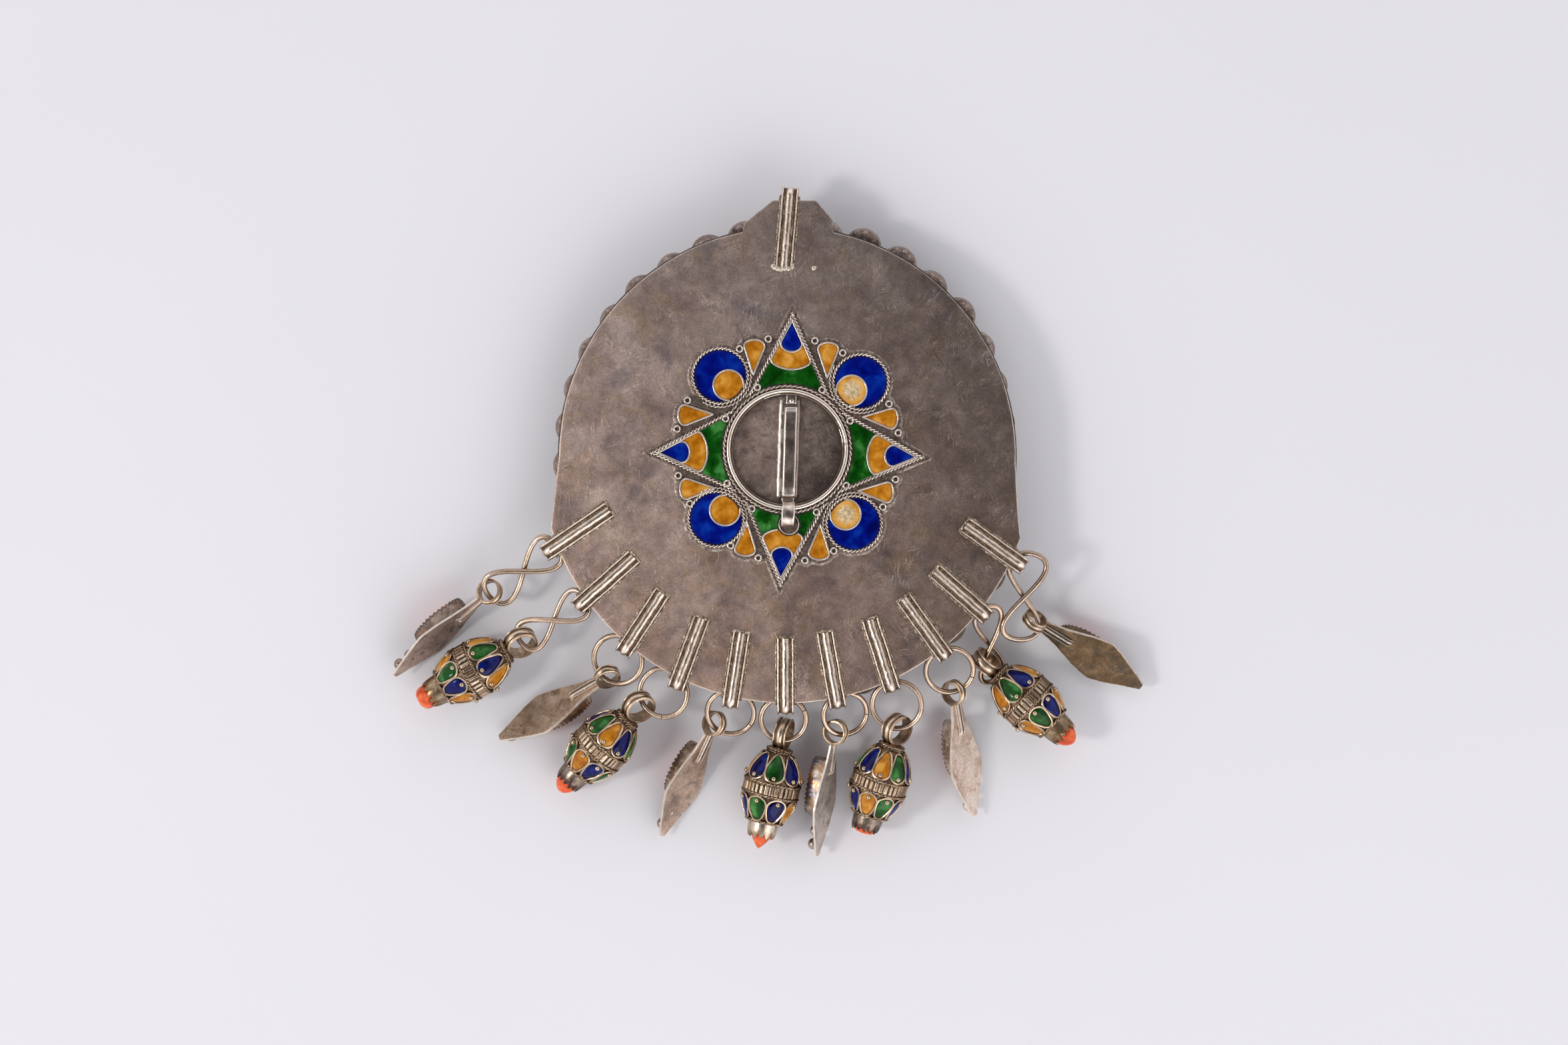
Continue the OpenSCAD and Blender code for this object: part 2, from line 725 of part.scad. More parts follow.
// Enamel of one colour in the drop-shaped cells of the egg in the given row of the eggs table
module egg_enamel(at, letter, paint) {
    row = eggs[at];
    cells = egg_cells[at];
    color(paint) lay(row) {
        cell_ring(cells[UP_PAINT], letter, cells[UP_TURN] - row[D_ROLL])
            intersection() {
                enamel_shell(egg_top + 0.3, egg_mid - band_half - 0.3);
                linear_extrude(egg_r + 2) translate([5.9, 0])
                    polygon(cell_outline(6.3, upper_cell_half, 0.8 * upper_cell_half, 60, 0));
            }
        cell_ring(cells[LOW_PAINT], letter, cells[LOW_TURN] - row[D_ROLL])
            intersection() {
                enamel_shell(egg_mid + band_half + 0.3, egg_low - 0.3);
                linear_extrude(egg_r + 2) translate([22, 0]) mirror([1, 0])
                    polygon(cell_outline(5, lower_cell_half, 0.8 * lower_cell_half, 60, 0));
            }
    }
}

// Sets a cell on the egg at each place of the row that has the given letter
module cell_ring(paints, letter, turn) {
    for (i = [0:len(paints) - 1])
        if (paints[i] == letter)
            rotate([turn + i * 360 / len(paints), 0, 0]) children();
}

module enamel_shell(from, to) {
    steps = 7;
    inner = [for (i = [0:steps]) let (s = from + (to - from) * i / steps) [egg_radius(s) + cell_seat, s]];
    outer = [for (i = [steps:-1:0]) let (s = from + (to - from) * i / steps) [egg_radius(s) + cell_seat + cell_rise, s]];
    spin_x() polygon(concat(inner, outer));
}

back_plate();
front_plate();
rosette_frame();
enamel_blue();
enamel_yellow();
enamel_green();
pin();
pin_boss();
round_link(round_links[0]);  // link_3
round_link(round_links[1]);  // link_4
round_link(round_links[2]);  // link_5
round_link(round_links[3]);  // link_6
round_link(round_links[4]);  // link_7
round_link(round_links[5]);  // link_8
round_link(round_links[6]);  // link_9
eight_link(eight_links[0]);  // link_1
eight_link(eight_links[1]);  // link_2
eight_link(eight_links[2]);  // link_10
eight_link(eight_links[3]);  // link_11
lozenge(lozenges[0]);  // lozenge_1
lozenge(lozenges[1]);  // lozenge_3
lozenge(lozenges[2]);  // lozenge_5
lozenge(lozenges[3]);  // lozenge_7
lozenge(lozenges[4]);  // lozenge_9
lozenge(lozenges[5]);  // lozenge_11
lozenge_coral(lozenges[0]);  // lozenge_coral_1
lozenge_coral(lozenges[1]);  // lozenge_coral_3
lozenge_coral(lozenges[2]);  // lozenge_coral_5
lozenge_coral(lozenges[3]);  // lozenge_coral_7
lozenge_coral(lozenges[4]);  // lozenge_coral_9
lozenge_coral(lozenges[5]);  // lozenge_coral_11
egg(eggs[0]);  // egg_2
egg(eggs[1]);  // egg_4
egg(eggs[2]);  // egg_6
egg(eggs[3]);  // egg_8
egg(eggs[4]);  // egg_10
egg_coral(eggs[0]);  // egg_coral_2
egg_coral(eggs[1]);  // egg_coral_4
egg_coral(eggs[2]);  // egg_coral_6
egg_coral(eggs[3]);  // egg_coral_8
egg_coral(eggs[4]);  // egg_coral_10
egg_enamel(0, "B", blue);  // egg_blue_2
egg_enamel(1, "B", blue);  // egg_blue_4
egg_enamel(2, "B", blue);  // egg_blue_6
egg_enamel(3, "B", blue);  // egg_blue_8
egg_enamel(4, "B", blue);  // egg_blue_10
egg_enamel(0, "G", green);  // egg_green_2
egg_enamel(1, "G", green);  // egg_green_4
egg_enamel(2, "G", green);  // egg_green_6
egg_enamel(3, "G", green);  // egg_green_8
egg_enamel(4, "G", green);  // egg_green_10
egg_enamel(0, "Y", yellow);  // egg_yellow_2
egg_enamel(1, "Y", yellow);  // egg_yellow_4
egg_enamel(2, "Y", yellow);  // egg_yellow_6
egg_enamel(3, "Y", yellow);  // egg_yellow_8
egg_enamel(4, "Y", yellow);  // egg_yellow_10
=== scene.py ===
import math

import bmesh
import bpy
import numpy as np
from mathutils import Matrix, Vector
from mathutils.geometry import delaunay_2d_cdt


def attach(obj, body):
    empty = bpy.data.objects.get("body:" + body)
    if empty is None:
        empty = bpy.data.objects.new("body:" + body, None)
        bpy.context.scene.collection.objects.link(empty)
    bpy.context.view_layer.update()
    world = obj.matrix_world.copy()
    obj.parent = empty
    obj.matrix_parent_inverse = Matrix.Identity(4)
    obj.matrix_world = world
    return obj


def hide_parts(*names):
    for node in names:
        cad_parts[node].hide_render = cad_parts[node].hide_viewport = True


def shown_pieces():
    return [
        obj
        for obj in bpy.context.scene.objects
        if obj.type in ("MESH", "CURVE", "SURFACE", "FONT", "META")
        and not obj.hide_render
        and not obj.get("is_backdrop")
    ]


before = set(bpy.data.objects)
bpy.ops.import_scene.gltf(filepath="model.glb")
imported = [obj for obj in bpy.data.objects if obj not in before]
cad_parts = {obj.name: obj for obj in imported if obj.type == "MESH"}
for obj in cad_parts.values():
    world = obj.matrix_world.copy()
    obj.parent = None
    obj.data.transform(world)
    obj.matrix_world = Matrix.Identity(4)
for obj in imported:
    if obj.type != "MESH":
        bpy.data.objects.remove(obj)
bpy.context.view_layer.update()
mm = 0.001
brooch, pinBody = "brooch", "pin"

# Sizes are in millimetres, in the frame's own axes: +X right, +Y towards the top loop, +Z out of the back.


# Small helpers for numbers and outlines.

def polar(radius, degrees):
    a = np.radians(degrees)
    return np.stack([radius * np.cos(a), radius * np.sin(a)], -1)


def unit(v):
    v = np.asarray(v, float)
    return v / np.maximum(np.linalg.norm(v, axis=-1, keepdims=True), 1e-12)


def fullTurn(count):
    # angles evenly round a circle, in radians
    return np.arange(count) / count * 2 * math.pi


def aroundX(along, radius, angles):
    along, radius, angles = np.broadcast_arrays(along, radius, angles)
    return np.stack([along, -radius * np.sin(angles), radius * np.cos(angles)], -1)


def raised(flat, height):
    return np.column_stack([flat, np.broadcast_to(height, len(flat))])


def away(points, centre):
    # distance from a spot, seen from above
    return np.hypot(points[:, 0] - centre[0], points[:, 1] - centre[1])


def spotsAt(distances, length, path):
    # places on a path at given distances; length says how far along each of its points lies
    return np.stack([np.interp(distances, length, column) for column in path.T], -1)


def turnMatrix(heading=0.0, pitch=0.0, roll=0.0):
    h, p, r = (math.radians(a) for a in (heading, pitch, roll))
    aroundZ = np.array([[math.cos(h), -math.sin(h), 0], [math.sin(h), math.cos(h), 0], [0, 0, 1]])
    aroundY = np.array([[math.cos(p), 0, math.sin(p)], [0, 1, 0], [-math.sin(p), 0, math.cos(p)]])
    aroundX = np.array([[1, 0, 0], [0, math.cos(r), -math.sin(r)], [0, math.sin(r), math.cos(r)]])
    return aroundZ @ aroundY @ aroundX


def ripple(points, scale, seed=0):
    # smooth made-up unevenness, about -1 to 1, from a few crossed waves
    p = np.asarray(points, float) * scale
    rng = np.random.default_rng(seed)
    total = np.zeros(p.shape[:-1])
    for _ in range(7):
        direction = rng.normal(size=p.shape[-1])
        total += np.sin(p @ direction * 1.7 + rng.uniform(0, 6.28))
    return total / 4.2


def insidePolygon(x, y, corners):
    inside = np.zeros(x.shape, bool)
    for (x0, y0), (x1, y1) in zip(corners, corners[1:] + corners[:1]):
        if y0 != y1:
            inside ^= ((y0 > y) != (y1 > y)) & (x < (x1 - x0) * (y - y0) / (y1 - y0) + x0)
    return inside


def reach(inside, bearings, far, near=0.0, step=0.02):
    # how far out a shape goes from the middle, along each bearing
    radii = np.arange(near, far, step)
    found = np.full(len(bearings), float(near))
    for i, b in enumerate(np.radians(bearings)):
        hit = inside(radii * math.cos(b), radii * math.sin(b))
        if hit.any():
            found[i] = radii[np.nonzero(hit)[0][-1]]
    return found


def segmentDistance(points, starts, ends):
    best = np.full(len(points), 1e9)
    for a, b in zip(starts, ends):
        d = b - a
        t = np.clip(((points - a) @ d) / max(d @ d, 1e-12), 0, 1)
        best = np.minimum(best, np.linalg.norm(points - a - t[:, None] * d, axis=1))
    return best


# A part is a dictionary of points, faces and a wear value for each point: 0 in the hollows, 1 where it is rubbed.

def part(points, faces, wear=0.5):
    points = np.asarray(points, float).reshape(-1, 3)
    return {"points": points, "faces": [tuple(int(i) for i in f) for f in faces],
            "wear": np.broadcast_to(np.asarray(wear, float), len(points)).copy()}


def join(parts):
    points, faces, wear, start = [], [], [], 0
    for p in parts:
        points.append(p["points"])
        wear.append(p["wear"])
        faces += [tuple(i + start for i in f) for f in p["faces"]]
        start += len(p["points"])
    return {"points": np.concatenate(points), "faces": faces, "wear": np.concatenate(wear)}


def placed(p, matrix=None, at=(0, 0, 0)):
    points = p["points"] if matrix is None else p["points"] @ np.asarray(matrix).T
    return {**p, "points": points + np.asarray(at, float)}


def gridFaces(rows, columns, closedRows=False, closedColumns=False):
    faces = []
    for i in range(rows if closedRows else rows - 1):
        j = (i + 1) % rows
        for k in range(columns if closedColumns else columns - 1):
            n = (k + 1) % columns
            faces.append((i * columns + k, i * columns + n, j * columns + n, j * columns + k))
    return faces


def sweep(path, section, up=(0, 0, 1), closed=False, twist=None, size=None, wear=0.5):
    # carries a section, given as (side, up) points, along a path
    path, section = np.asarray(path, float), np.asarray(section, float)
    count, columns = len(path), section.shape[-2]
    along = unit(np.roll(path, -1, 0) - np.roll(path, 1, 0) if closed else np.gradient(path, axis=0))
    up = np.broadcast_to(np.asarray(up, float), path.shape)
    side = unit(np.cross(along, up))
    up = np.cross(side, along)
    flat = np.broadcast_to(section, (count,) + section.shape[-2:]).copy()
    if size is not None:
        flat *= np.asarray(size, float)[:, None, None]
    if twist is not None:
        c, s = np.cos(twist)[:, None], np.sin(twist)[:, None]
        flat = np.stack([flat[..., 0] * c - flat[..., 1] * s, flat[..., 0] * s + flat[..., 1] * c], -1)
    points = path[:, None] + flat[..., :1] * side[:, None] + flat[..., 1:] * up[:, None]
    faces = gridFaces(count, columns, closedRows=closed, closedColumns=True)
    if not closed:
        faces.append(tuple(range(columns)))
        faces.append(tuple(range((count - 1) * columns, count * columns))[::-1])
    return part(points, faces, np.tile(np.broadcast_to(wear, columns), count))


def revolve(profile, steps, axis, wear=0.5, closed=False):
    # profile rows are (distance along the axis, radius)
    profile = np.asarray(profile, float)
    ring = aroundX(profile[:, 0], profile[:, 1], fullTurn(steps)[:, None])
    if axis == "z":
        ring = ring[..., [1, 2, 0]]
    if axis == "y":
        ring = ring[..., [2, 0, 1]]
    wear = np.tile(np.broadcast_to(wear, len(profile)), steps)
    return part(ring, gridFaces(steps, len(profile), closedRows=True, closedColumns=closed), wear)


def circleSection(radius, sides):
    a = fullTurn(sides)
    return np.stack([radius * np.cos(a), radius * np.sin(a)], -1)


def ball(centre, radius, steps, squash, wear):
    rows = steps // 2
    high = radius * squash
    points = [(0, 0, -high)]
    for b in np.linspace(-math.pi / 2, math.pi / 2, rows + 1)[1:-1]:
        wide = radius * math.cos(b)
        points += [(wide * math.cos(a), wide * math.sin(a), high * math.sin(b)) for a in fullTurn(steps)]
    points.append((0, 0, high))
    faces = [(0, 1 + (k + 1) % steps, 1 + k) for k in range(steps)]
    for i in range(rows - 2):
        for k in range(steps):
            n = (k + 1) % steps
            a, b = 1 + i * steps, 1 + (i + 1) * steps
            faces.append((a + k, a + n, b + n, b + k))
    last = 1 + (rows - 2) * steps
    faces += [(len(points) - 1, last + k, last + (k + 1) % steps) for k in range(steps)]
    return part(np.array(points) + np.asarray(centre, float), faces, wear)


def ropeAlong(path, up=(0, 0, 1), closed=False, radius=0.42, turn=0.9, sides=8):
    # two strands twisted together, as one tube whose two-lobed section turns as it goes
    path = np.asarray(path, float)
    ups = np.broadcast_to(np.asarray(up, float), path.shape)
    if closed:
        path, ups = np.vstack([path, path[:1]]), np.vstack([ups, ups[:1]])
    length = np.concatenate([[0], np.cumsum(np.linalg.norm(np.diff(path, axis=0), axis=1))])
    turns = max(2, round(length[-1] / turn))
    count = turns * 6
    t = np.arange(count) / count if closed else np.linspace(0, 1, count)
    a = fullTurn(sides)
    lobes = radius * (0.5 + 0.5 * np.abs(np.cos(a)))
    section = np.stack([lobes * np.cos(a), lobes * np.sin(a)], -1)
    return sweep(spotsAt(t * length[-1], length, path), section, spotsAt(t * length[-1], length, ups), closed,
                 twist=t * turns * math.pi, wear=0.05 + 0.9 * np.abs(np.cos(a)) ** 2)


def addObject(name, data):
    thing = bpy.data.objects.new(name, data)
    bpy.context.scene.collection.objects.link(thing)
    return thing


def dressMesh(mesh, finish, wear, smoothAngle):
    # the finish, the wear that it reads, and smooth shading up to an angle
    mesh.materials.append(finish)
    mesh.attributes.new("wear", "FLOAT", "POINT").data.foreach_set("value", wear.astype(np.float32))
    mesh.shade_smooth()
    mesh.set_sharp_from_angle(angle=math.radians(smoothAngle))


def makePiece(name, p, finish, body, replaces=(), smoothAngle=50):
    mesh = bpy.data.meshes.new(name)
    mesh.from_pydata((p["points"] * mm).tolist(), [], p["faces"])
    mesh.validate()
    fixer = bmesh.new()
    fixer.from_mesh(mesh)
    bmesh.ops.recalc_face_normals(fixer, faces=fixer.faces)
    fixer.to_mesh(mesh)
    fixer.free()
    dressMesh(mesh, finish, p["wear"], smoothAngle)
    piece = addObject(name, mesh)
    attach(piece, body)
    if replaces:
        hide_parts(*replaces)


def triangles():
    return sum(sum(len(f.vertices) - 2 for f in o.data.polygons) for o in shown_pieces() if o.type == "MESH")


# Finishes. Textures are placed by the piece's own coordinates in millimetres.

def newFinish(name, seed):
    # an empty finish, the place in millimetres, and clouds of noise that start from one seed
    finish = bpy.data.materials.new(name)
    finish.use_nodes = True
    tree = finish.node_tree
    tree.nodes.clear()
    place = addNode(tree, "ShaderNodeTexCoord").outputs["Object"]
    place = addNode(tree, "ShaderNodeMapping", {"Vector": place, "Scale": (1000, 1000, 1000)}).outputs["Vector"]

    def clouds(size, detail, rough, distort, shift):
        return noise(tree, place, size, detail, rough, distort, seed + shift)

    return finish, tree, place, clouds


def closeFinish(finish, tree, height, strength, deep, values):
    # deep is the depth of the bumps in metres
    bump = addNode(tree, "ShaderNodeBump", {"Height": height, "Strength": strength, "Distance": deep})
    shader = addNode(tree, "ShaderNodeBsdfPrincipled", {**values, "Normal": bump.outputs[0]})
    out = addNode(tree, "ShaderNodeOutputMaterial")
    tree.links.new(shader.outputs[0], out.inputs["Surface"])
    return finish


def addNode(tree, kind, values=None, **settings):
    node = tree.nodes.new(kind)
    for key, value in settings.items():
        setattr(node, key, value)
    for key, value in (values or {}).items():
        if isinstance(value, bpy.types.NodeSocket):
            tree.links.new(value, node.inputs[key])
        else:
            node.inputs[key].default_value = value
    return node


def noise(tree, place, size, detail, rough, distort, shift):
    # size is the width of one cloud in millimetres
    values = {"Vector": place, "Scale": 1 / size, "Detail": detail, "Roughness": rough, "Distortion": distort,
              "W": shift}
    return addNode(tree, "ShaderNodeTexNoise", values, noise_dimensions="4D").outputs["Fac"]


def ramp(tree, value, *stops):
    node = addNode(tree, "ShaderNodeValToRGB", {"Fac": value})
    elements = node.color_ramp.elements
    while len(elements) < len(stops):
        elements.new(0.5)
    for element, (position, colour) in zip(elements, stops):
        element.position = position
        element.color = (*colour, 1) if isinstance(colour, tuple) else (colour, colour, colour, 1)
    return node.outputs["Color"]


def mix(tree, share, a, b, blend="MIX"):
    node = addNode(tree, "ShaderNodeMix", data_type="RGBA", blend_type=blend)
    for index, value in ((0, share), (6, a), (7, b)):
        if isinstance(value, bpy.types.NodeSocket):
            tree.links.new(value, node.inputs[index])
        elif index == 0:
            node.inputs[0].default_value = value
        else:
            value = value if isinstance(value, tuple) else (value,) * 3
            node.inputs[index].default_value = (*value, 1)
    return node.outputs[2]


def sums(tree, operation, a, b):
    return addNode(tree, "ShaderNodeMath", {0: a, 1: b}, operation=operation).outputs[0]


def times(tree, a, b):
    return sums(tree, "MULTIPLY", a, b)


def readWear(tree):
    return addNode(tree, "ShaderNodeAttribute", attribute_name="wear").outputs["Fac"]


def scratches(tree, place, angles, spacing, long, thin, patch, shift):
    # thin broken lines at a few angles, in patches
    total = None
    for i, angle in enumerate(angles):
        turned = addNode(tree, "ShaderNodeMapping", {
            "Vector": place, "Rotation": (0, 0, math.radians(angle)), "Scale": (long, spacing, 3)},
            vector_type="TEXTURE").outputs[0]
        fine = addNode(tree, "ShaderNodeTexNoise", {
            "Vector": turned, "Scale": 1.0, "Detail": 2.0, "W": shift + i * 3.7}, noise_dimensions="4D").outputs["Fac"]
        line = ramp(tree, fine, (0.0, 0.0), (0.5 - thin, 0.0), (0.5, 1.0), (0.5 + thin, 0.0))
        where = ramp(tree, noise(tree, place, patch, 3, 0.6, 0, shift + i * 5.1), (0.54, 0.0), (0.66, 1.0))
        line = times(tree, line, where)
        total = line if total is None else sums(tree, "MAXIMUM", total, line)
    return total


# What a metal has where its own dictionary says nothing. Sizes are the widths of clouds, shares are how much shows.
metalDefaults = {
    "seed": 0.0, "cloud": 14, "soft": 0.62, "grain": 0.5, "mottle": 0.25, "fades": [], "metal": 1.0,
    "stainSize": 8, "stainFrom": 0.55, "stainShare": 0.8, "tintSize": 5, "tintShare": 0.6,
    "angles": (20, 75, 130), "scratch": 0.35, "lines": (0.9, 14.0, 0.007, 9.0),
    "ragged": 0.5, "hollowTo": 0.4, "hollowShare": 0.85, "rubShare": 0.7, "bumpSize": 0.35, "bump": 0.5,
}
enamelDefaults = {"cloud": 3.5, "speckGap": 0.55, "speckSize": 0.12, "speckShare": 0.7, "edgeTo": 0.35}


def metalFinish(name, look):
    look = {**metalDefaults, **look}
    finish, tree, place, clouds = newFinish(name, look["seed"])
    tone = ramp(tree, clouds(look["cloud"], 5, look["soft"], 0.6, 0),
                (0.3, look["dark"]), (0.5, look["base"]), (0.7, look["light"]))
    if "stain" in look:
        patch = clouds(look["stainSize"], 6, look["soft"] + 0.08, 1.2, 4)
        amount = ramp(tree, patch, (look["stainFrom"], 0.0), (look["stainFrom"] + 0.14, look["stainShare"]))
        tone = mix(tree, amount, tone, look["stain"])
    if "tint" in look:
        amount = ramp(tree, clouds(look["tintSize"], 3, 0.5, 1.5, 9), (0.5, 0.0), (0.66, look["tintShare"]))
        tone = mix(tree, amount, tone, look["tint"])
    grain = ramp(tree, clouds(look["grain"], 3, 0.6, 0, 2), (0.3, 1 - look["mottle"]), (0.7, 1.0))
    tone = mix(tree, 1.0, tone, grain, "MULTIPLY")
    for run, low, high in look["fades"]:  # slowly another tone towards one side
        along = addNode(tree, "ShaderNodeVectorMath", {0: place, 1: run}, operation="DOT_PRODUCT").outputs["Value"]
        fade = ramp(tree, sums(tree, "ADD", along, 0.5), (0.0, low), (1.0, high))
        tone = mix(tree, 1.0, tone, fade, "MULTIPLY")
    lines = scratches(tree, place, look["angles"], *look["lines"], look["seed"])
    tone = mix(tree, times(tree, lines, look["scratch"]), tone, look["bright"])
    uneven = sums(tree, "SUBTRACT", clouds(1.1, 4, 0.7, 0, 6), 0.5)
    worn = sums(tree, "ADD", readWear(tree), times(tree, uneven, look["ragged"]))
    hollow = ramp(tree, worn, (0.05, 1.0), (look["hollowTo"], 0.0))
    tone = mix(tree, times(tree, hollow, look["hollowShare"]), tone, look["hollow"])
    rubbed = ramp(tree, worn, (0.62, 0.0), (0.95, 1.0))
    tone = mix(tree, times(tree, rubbed, look["rubShare"]), tone, look["bright"])
    rough = ramp(tree, clouds(3.5, 4, 0.6, 0.4, 7), (0.35, look["rough"] - 0.07), (0.7, look["rough"] + 0.1))
    rough = mix(tree, times(tree, hollow, 0.8), rough, 0.75)
    broad = times(tree, clouds(look["bumpSize"] * 8, 2, 0.5, 0, 3), 1.6)
    bumps = sums(tree, "ADD", clouds(look["bumpSize"], 3, 0.6, 0, 1), broad)
    bumps = sums(tree, "SUBTRACT", bumps, times(tree, lines, 0.4))
    return closeFinish(finish, tree, bumps, look["bump"], 0.00006,
                       {"Base Color": tone, "Metallic": look["metal"], "Roughness": rough})


def enamelFinish(name, look):
    look = {**enamelDefaults, **look}
    finish, tree, place, clouds = newFinish(name, look["seed"])
    tone = ramp(tree, clouds(look["cloud"], 3, 0.5, 0.25, 0),
                (0.34, look["dark"]), (0.5, look["base"]), (0.68, look["light"]))
    cells = addNode(tree, "ShaderNodeTexVoronoi", {
        "Vector": place, "Scale": 1 / look["speckGap"], "W": look["seed"]}, voronoi_dimensions="4D")
    size = look["speckSize"]
    specks = ramp(tree, cells.outputs["Distance"], (0.0, 1.0), (size, 0.9), (size + 0.06, 0.0))
    where = ramp(tree, clouds(1.7, 3, 0.6, 0, 3), (0.42, 0.0), (0.56, 1.0))
    tone = mix(tree, times(tree, times(tree, specks, where), look["speckShare"]), tone, look["speck"])
    worn = readWear(tree)
    edge = ramp(tree, worn, (0.0, 1.0), (look["edgeTo"], 0.0))
    tone = mix(tree, times(tree, edge, 0.6), tone, look["edge"])
    rough = look["rough"]
    if "bare" in look:  # the middle is rubbed through
        uneven = sums(tree, "SUBTRACT", clouds(1.0, 4, 0.7, 0.5, 8), 0.5)
        worn = sums(tree, "ADD", worn, times(tree, uneven, 0.7))
        share = ramp(tree, worn, (look["bareFrom"], 0.0), (look["bareFrom"] + 0.3, 0.95))
        chalk = ramp(tree, clouds(0.8, 4, 0.65, 0.4, 5), (0.36, 0.45), (0.5, 0.85), (0.66, 1.25))
        tone = mix(tree, share, tone, mix(tree, 1.0, look["bare"], chalk, "MULTIPLY"))
        rough = ramp(tree, share, (0.0, look["rough"]), (1.0, 0.3))
    waves = sums(tree, "ADD", clouds(1.4, 3, 0.5, 0.3, 1), times(tree, specks, -0.25))
    return closeFinish(finish, tree, waves, 0.5, 0.00012,
                       {"Base Color": tone, "Roughness": rough, "IOR": 1.45, "Specular IOR Level": 0.27})


plateMetal = metalFinish("tarnished plate silver", {
    "dark": (0.42, 0.295, 0.255), "base": (0.64, 0.475, 0.415), "light": (0.82, 0.64, 0.56),
    "bright": (1.0, 0.9, 0.78), "hollow": (0.1, 0.075, 0.06), "stain": (0.33, 0.26, 0.265), "stainShare": 0.7,
    "stainSize": 12, "stainFrom": 0.52, "tint": (0.62, 0.42, 0.26), "tintSize": 11, "tintShare": 0.45, "cloud": 15,
    "soft": 0.5, "mottle": 0.4, "grain": 0.38, "rough": 0.4, "scratch": 0.36, "bump": 0.6, "bumpSize": 0.3,
    "angles": (20, 52, 86, 128), "lines": (1.3, 6.5, 0.008, 7.0),
    # fades: lighter to the left and a little towards the bottom, darker to the right, is painted light from the key
    # lamp on the left, partly the plate's own tarnish; the second fade is warmer below and cooler above
    "fades": [((-0.0092, -0.0015, 0), 0.38, 1.12), ((0, 0.011, 0), (1.0, 0.955, 0.9), (0.95, 0.99, 1.0))],
    "metal": 0.72, "hollowTo": 0.3})
# the strap's rib tops take a strong bright colour: partly rubbed silver, partly painted highlight
strapMetal = metalFinish("ribbed strap silver", {
    "dark": (0.3, 0.2, 0.14), "base": (0.55, 0.41, 0.31), "light": (0.76, 0.6, 0.48), "bright": (1.0, 0.88, 0.76),
    "hollow": (0.07, 0.042, 0.028), "cloud": 3.0, "rough": 0.27, "scratch": 0.25, "bump": 0.9, "ragged": 0.8,
    "rubShare": 0.7, "hollowTo": 0.5, "seed": 3.0})
solderMetal = metalFinish("granular solder", {
    "dark": (0.16, 0.1, 0.06), "base": (0.38, 0.28, 0.19), "light": (0.62, 0.52, 0.4), "bright": (0.86, 0.78, 0.64),
    "hollow": (0.05, 0.032, 0.022), "cloud": 0.9, "rough": 0.45, "bump": 1.0, "bumpSize": 0.22, "ragged": 0.8,
    "mottle": 0.55, "hollowTo": 0.45, "seed": 5.0})
brightMetal = metalFinish("polished ring silver", {
    "dark": (0.44, 0.33, 0.25), "base": (0.65, 0.525, 0.425), "light": (0.82, 0.7, 0.585), "bright": (0.98, 0.9, 0.8),
    "hollow": (0.12, 0.075, 0.048), "cloud": 6, "rough": 0.24, "scratch": 0.3, "bump": 0.3, "hollowTo": 0.45,
    "seed": 7.0})
wireMetal = metalFinish("cell wire silver", {
    "dark": (0.4, 0.31, 0.25), "base": (0.62, 0.51, 0.43), "light": (0.79, 0.68, 0.59), "bright": (0.98, 0.89, 0.8),
    "hollow": (0.05, 0.035, 0.027), "cloud": 2.5, "rough": 0.27, "scratch": 0.1, "bump": 0.6, "ragged": 0.35,
    "hollowTo": 0.42, "hollowShare": 0.97, "seed": 9.0})
bedMetal = metalFinish("rosette bed silver", {
    "dark": (0.12, 0.087, 0.07), "base": (0.27, 0.205, 0.17), "light": (0.48, 0.385, 0.32),
    "bright": (0.62, 0.53, 0.46), "hollow": (0.045, 0.032, 0.025), "cloud": 1.1, "rough": 0.46, "bump": 1.0,
    "bumpSize": 0.25, "ragged": 0.8, "mottle": 0.5, "hollowTo": 0.3, "rubShare": 0.85, "seed": 11.0})
linkMetal = metalFinish("link wire silver", {
    "dark": (0.27, 0.155, 0.093), "base": (0.5, 0.34, 0.23), "light": (0.73, 0.54, 0.395),
    "bright": (1.0, 0.86, 0.71), "hollow": (0.1, 0.06, 0.035), "cloud": 6, "rough": 0.27, "scratch": 0.25,
    "bump": 0.35, "stain": (0.15, 0.085, 0.055), "stainShare": 0.8, "stainSize": 7, "stainFrom": 0.54,
    "tint": (0.3, 0.24, 0.2), "tintSize": 9, "tintShare": 0.6, "rubShare": 0.25, "seed": 13.0})
pinMetal = metalFinish("pin silver", {
    "dark": (0.34, 0.265, 0.225), "base": (0.5, 0.4, 0.345), "light": (0.65, 0.54, 0.465),
    "bright": (0.98, 0.91, 0.82), "hollow": (0.07, 0.045, 0.035), "cloud": 4, "rough": 0.32, "scratch": 0.35,
    "bump": 0.5, "rubShare": 0.9, "seed": 15.0})
recessMetal = metalFinish("stained recess silver", {
    "dark": (0.34, 0.235, 0.19), "base": (0.58, 0.44, 0.37), "light": (0.8, 0.64, 0.54), "bright": (0.95, 0.76, 0.6),
    "hollow": (0.06, 0.04, 0.03), "cloud": 5, "metal": 0.6, "rough": 0.4, "scratch": 0.35, "bump": 0.6,
    "stain": (0.25, 0.12, 0.065), "stainSize": 4, "stainShare": 0.75, "tint": (0.2, 0.15, 0.16), "seed": 17.0,
    "angles": (28, 118, 160), "lines": (0.9, 6.0, 0.01, 5.0), "mottle": 0.45, "grain": 0.4,
    # fades: lighter at the left and darker to the right, painted light falling from the left
    "fades": [((-0.035, 0.006, 0), 0.36, 0.95)]})
